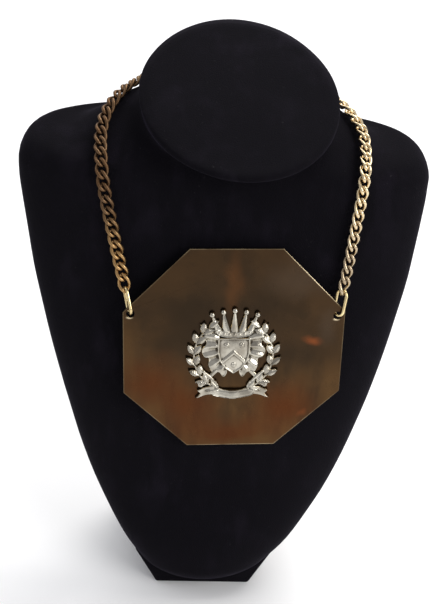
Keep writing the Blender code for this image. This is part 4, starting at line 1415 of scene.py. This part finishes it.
def outward_at(number):
    """The direction out of the bust: the shortest one of the nearest solid, outwards and up."""
    nearest = CHAIN[int(np.argmin(np.abs(CHAIN_NUMBERS - number)))]
    out = Vector(nearest.turn[:, 2])
    away = Vector((*(Vector(nearest.middle[:2]) - NECK_MIDDLE), LIFT_OUTWARDS))
    return out if out.dot(away) > 0 else -out


def link_frame(number):
    """The middle of a link and its angles: X along the chain, Z out of the bust."""
    middle = curve_between(CHAIN_NUMBERS, CHAIN_MIDDLES, number)
    behind = curve_between(CHAIN_NUMBERS, CHAIN_MIDDLES, max(number - 0.5, 0))
    ahead = curve_between(CHAIN_NUMBERS, CHAIN_MIDDLES, min(number + 0.5, CHAIN_NUMBERS[-1]))
    along = Vector(ahead - behind).normalized()
    out = outward_at(number)
    out = (out - along * out.dot(along)).normalized()
    turn = Matrix((along, out.cross(along), out)).transposed()
    return middle, turn.to_euler()


# %% [markdown]
# The places become the points of a small mesh that carries the angles with it. The finished chain is
# read back from the modifier as a plain mesh. Every link has the same count of points in the same
# order, so the spots where two links rub can be found by measuring from one link to the next.

# %% Chain: build
CONTACT_REACH = 0.55 * MM


def single_frame(name):
    """A single link lies exactly as its solid does."""
    middle, turn = solid_frame(name)
    return middle, Matrix(turn.tolist()).to_euler()


def chain_half(side):
    """The places on one side of the clasp, from the plate up."""
    frames = [single_frame(name) for name in single_names(side)]
    for number in range(SINGLE_LINKS, SINGLE_LINKS + RUN_LINKS * NAPE_RUNS):
        frames.append(link_frame(number if side == "left" else CHAIN_NUMBERS[-1] - number))
    return frames


def set_inputs(modifier, values):
    """Sets a modifier's inputs by the names that its tree gives them."""
    for item in modifier.node_group.interface.items_tree:
        if item.in_out == "INPUT" and item.name in values:
            modifier[item.identifier] = values[item.name]


def mark_contact(mesh, links):
    """Stores how close each point is to the wire of the next links."""
    points = points_of(mesh).reshape(links, -1, 3)
    touch = np.zeros(points.shape[:2])
    for number in range(links):
        for other in {max(number - 1, 0), min(number + 1, links - 1)} - {number}:
            gaps = points[number, :, None, :] - points[other, None, ::2, :]
            away = np.sqrt((gaps**2).sum(axis=2)).min(axis=1)
            touch[number] = np.maximum(touch[number], np.clip(1 - away / CONTACT_REACH, 0, 1))
    store(mesh, "contact", touch)


def build_chain(side, seed):
    frames = chain_half(side)
    piece = put(f"chain_{side}", mesh_of(f"chain_{side}", [middle for middle, _ in frames], []))
    store(piece.data, "turn", [tuple(turn) for _, turn in frames], "FLOAT_VECTOR", "vector")
    set_inputs(modify(piece, "links", "NODES", node_group=LINK_TREE), {
        "Wire": LINK_WIRE, "Half length": LINK_HALF_LENGTH, "Half width": LINK_HALF_WIDTH,
        "Twist": LINK_TWIST, "Steps": LINK_STEPS, "Sides": LINK_SIDES, "Seed": seed,
    })
    mark_contact(settle(piece), len(frames))
    join_frame(piece, "chain_brass", *single_names(side), *run_names(side))


build_chain("left", 11)
build_chain("right", 23)

# %% [markdown]
# ## Rings and clasp
#
# A long jump ring joins each end of the chain to the plate. It is a piece of wire bent round until
# its two ends meet, with two straight legs. The clasp behind the neck is a longer twisted oval with
# a sleeve that slides over its opening, and two grooves turned into the sleeve give a grip. Both are
# a wire swept along a line of points: at each point a circle is set square to the line, and
# neighbouring circles are joined.

# %% Rings and clasp
RING_WIRE = 1.6 * MM
RING_HALF_LENGTH = 6.8 * MM
RING_HALF_WIDTH = 2.9 * MM
RING_STEPS = 64
RING_SIDES = 20
CLASP_HALF_LENGTH = 7.45 * MM
CLASP_HALF_WIDTH = 3.0 * MM
SLEEVE_LENGTH = 4.5 * MM
SLEEVE_RADIUS = 1.5 * MM
GROOVE_PLACE = 1.2 * MM
GROOVE_HALF_WIDTH = 0.2 * MM
GROOVE_DEPTH = 0.12 * MM
RING_BRIGHT = (0.92, 0.76, 0.42)
RING_DULL = (0.55, 0.38, 0.17)


def swept(name, line, radii):
    """A closed tube along these points, with a radius for each of them."""
    line = np.asarray(line)
    ahead = np.roll(line, -1, axis=0) - np.roll(line, 1, axis=0)
    ahead /= np.linalg.norm(ahead, axis=1)[:, None]
    beside = np.cross(ahead, line - line.mean(axis=0))
    beside /= np.linalg.norm(beside, axis=1)[:, None]
    above = np.cross(beside, ahead)
    angle = 2 * np.pi * np.arange(RING_SIDES)[:, None] / RING_SIDES
    verts = [
        point + radius * (side * np.cos(angle) + over * np.sin(angle))
        for point, side, over, radius in zip(line, beside, above, radii)
    ]
    mesh = mesh_of(name, np.vstack(verts), strips(len(line), RING_SIDES, closed=True))
    close_up(mesh)
    shade(mesh, 50)
    mesh.materials.append(RING_FINISH)
    return put(name, mesh)


def placed(points, node):
    """Points in a solid's own directions, moved to where the solid is."""
    middle, turn = solid_frame(node)
    return middle + np.asarray(points) @ turn.T


def build_ring(side):
    angle = 2 * np.pi * (np.arange(RING_STEPS) + 0.5) / RING_STEPS
    leg = np.sign(np.cos(angle)) * (RING_HALF_LENGTH - RING_HALF_WIDTH)
    line = np.column_stack([
        leg + RING_HALF_WIDTH * np.cos(angle), RING_HALF_WIDTH * np.sin(angle), 0 * angle,
    ])
    radii = np.full(RING_STEPS, RING_WIRE / 2)
    ring = swept(f"jump_ring_{side}", placed(line, f"ring_{side}"), radii)
    join_frame(ring, "ring_brass", f"ring_{side}")


def build_clasp():
    steps = 4 * RING_STEPS
    angle = 2 * np.pi * (np.arange(steps) + 0.5) / steps
    turned = LINK_TWIST * np.cos(angle)
    across = CLASP_HALF_WIDTH * np.sin(angle)
    line = np.column_stack([
        CLASP_HALF_LENGTH * np.cos(angle), across * np.cos(turned), across * np.sin(turned),
    ])
    along = np.abs(line[:, 0])
    sleeved = (line[:, 1] > 0) & (along < SLEEVE_LENGTH / 2)
    groove = GROOVE_DEPTH * (np.abs(along - GROOVE_PLACE) < GROOVE_HALF_WIDTH)
    radii = np.where(sleeved, SLEEVE_RADIUS - groove, LINK_WIRE / 2)
    clasp = swept("closing_clasp", placed(line, "clasp"), radii)
    join_frame(clasp, "clasp_brass", "clasp")


def ring_material():
    material, tree, shader = new_material("ring brass", 1.0)
    place = object_place(tree)
    metal = handled_metal(tree, place, RING_BRIGHT, RING_DULL, 190.0, 0.6, 0.16, 0.30)
    grain = bump(tree, metal["Height"], 0.05, 0.1 * MM)
    connect(tree, shader, Base_Color=metal["Color"], Roughness=metal["Roughness"], Normal=grain)
    return material


RING_FINISH = ring_material()
build_ring("left")
build_ring("right")
build_clasp()
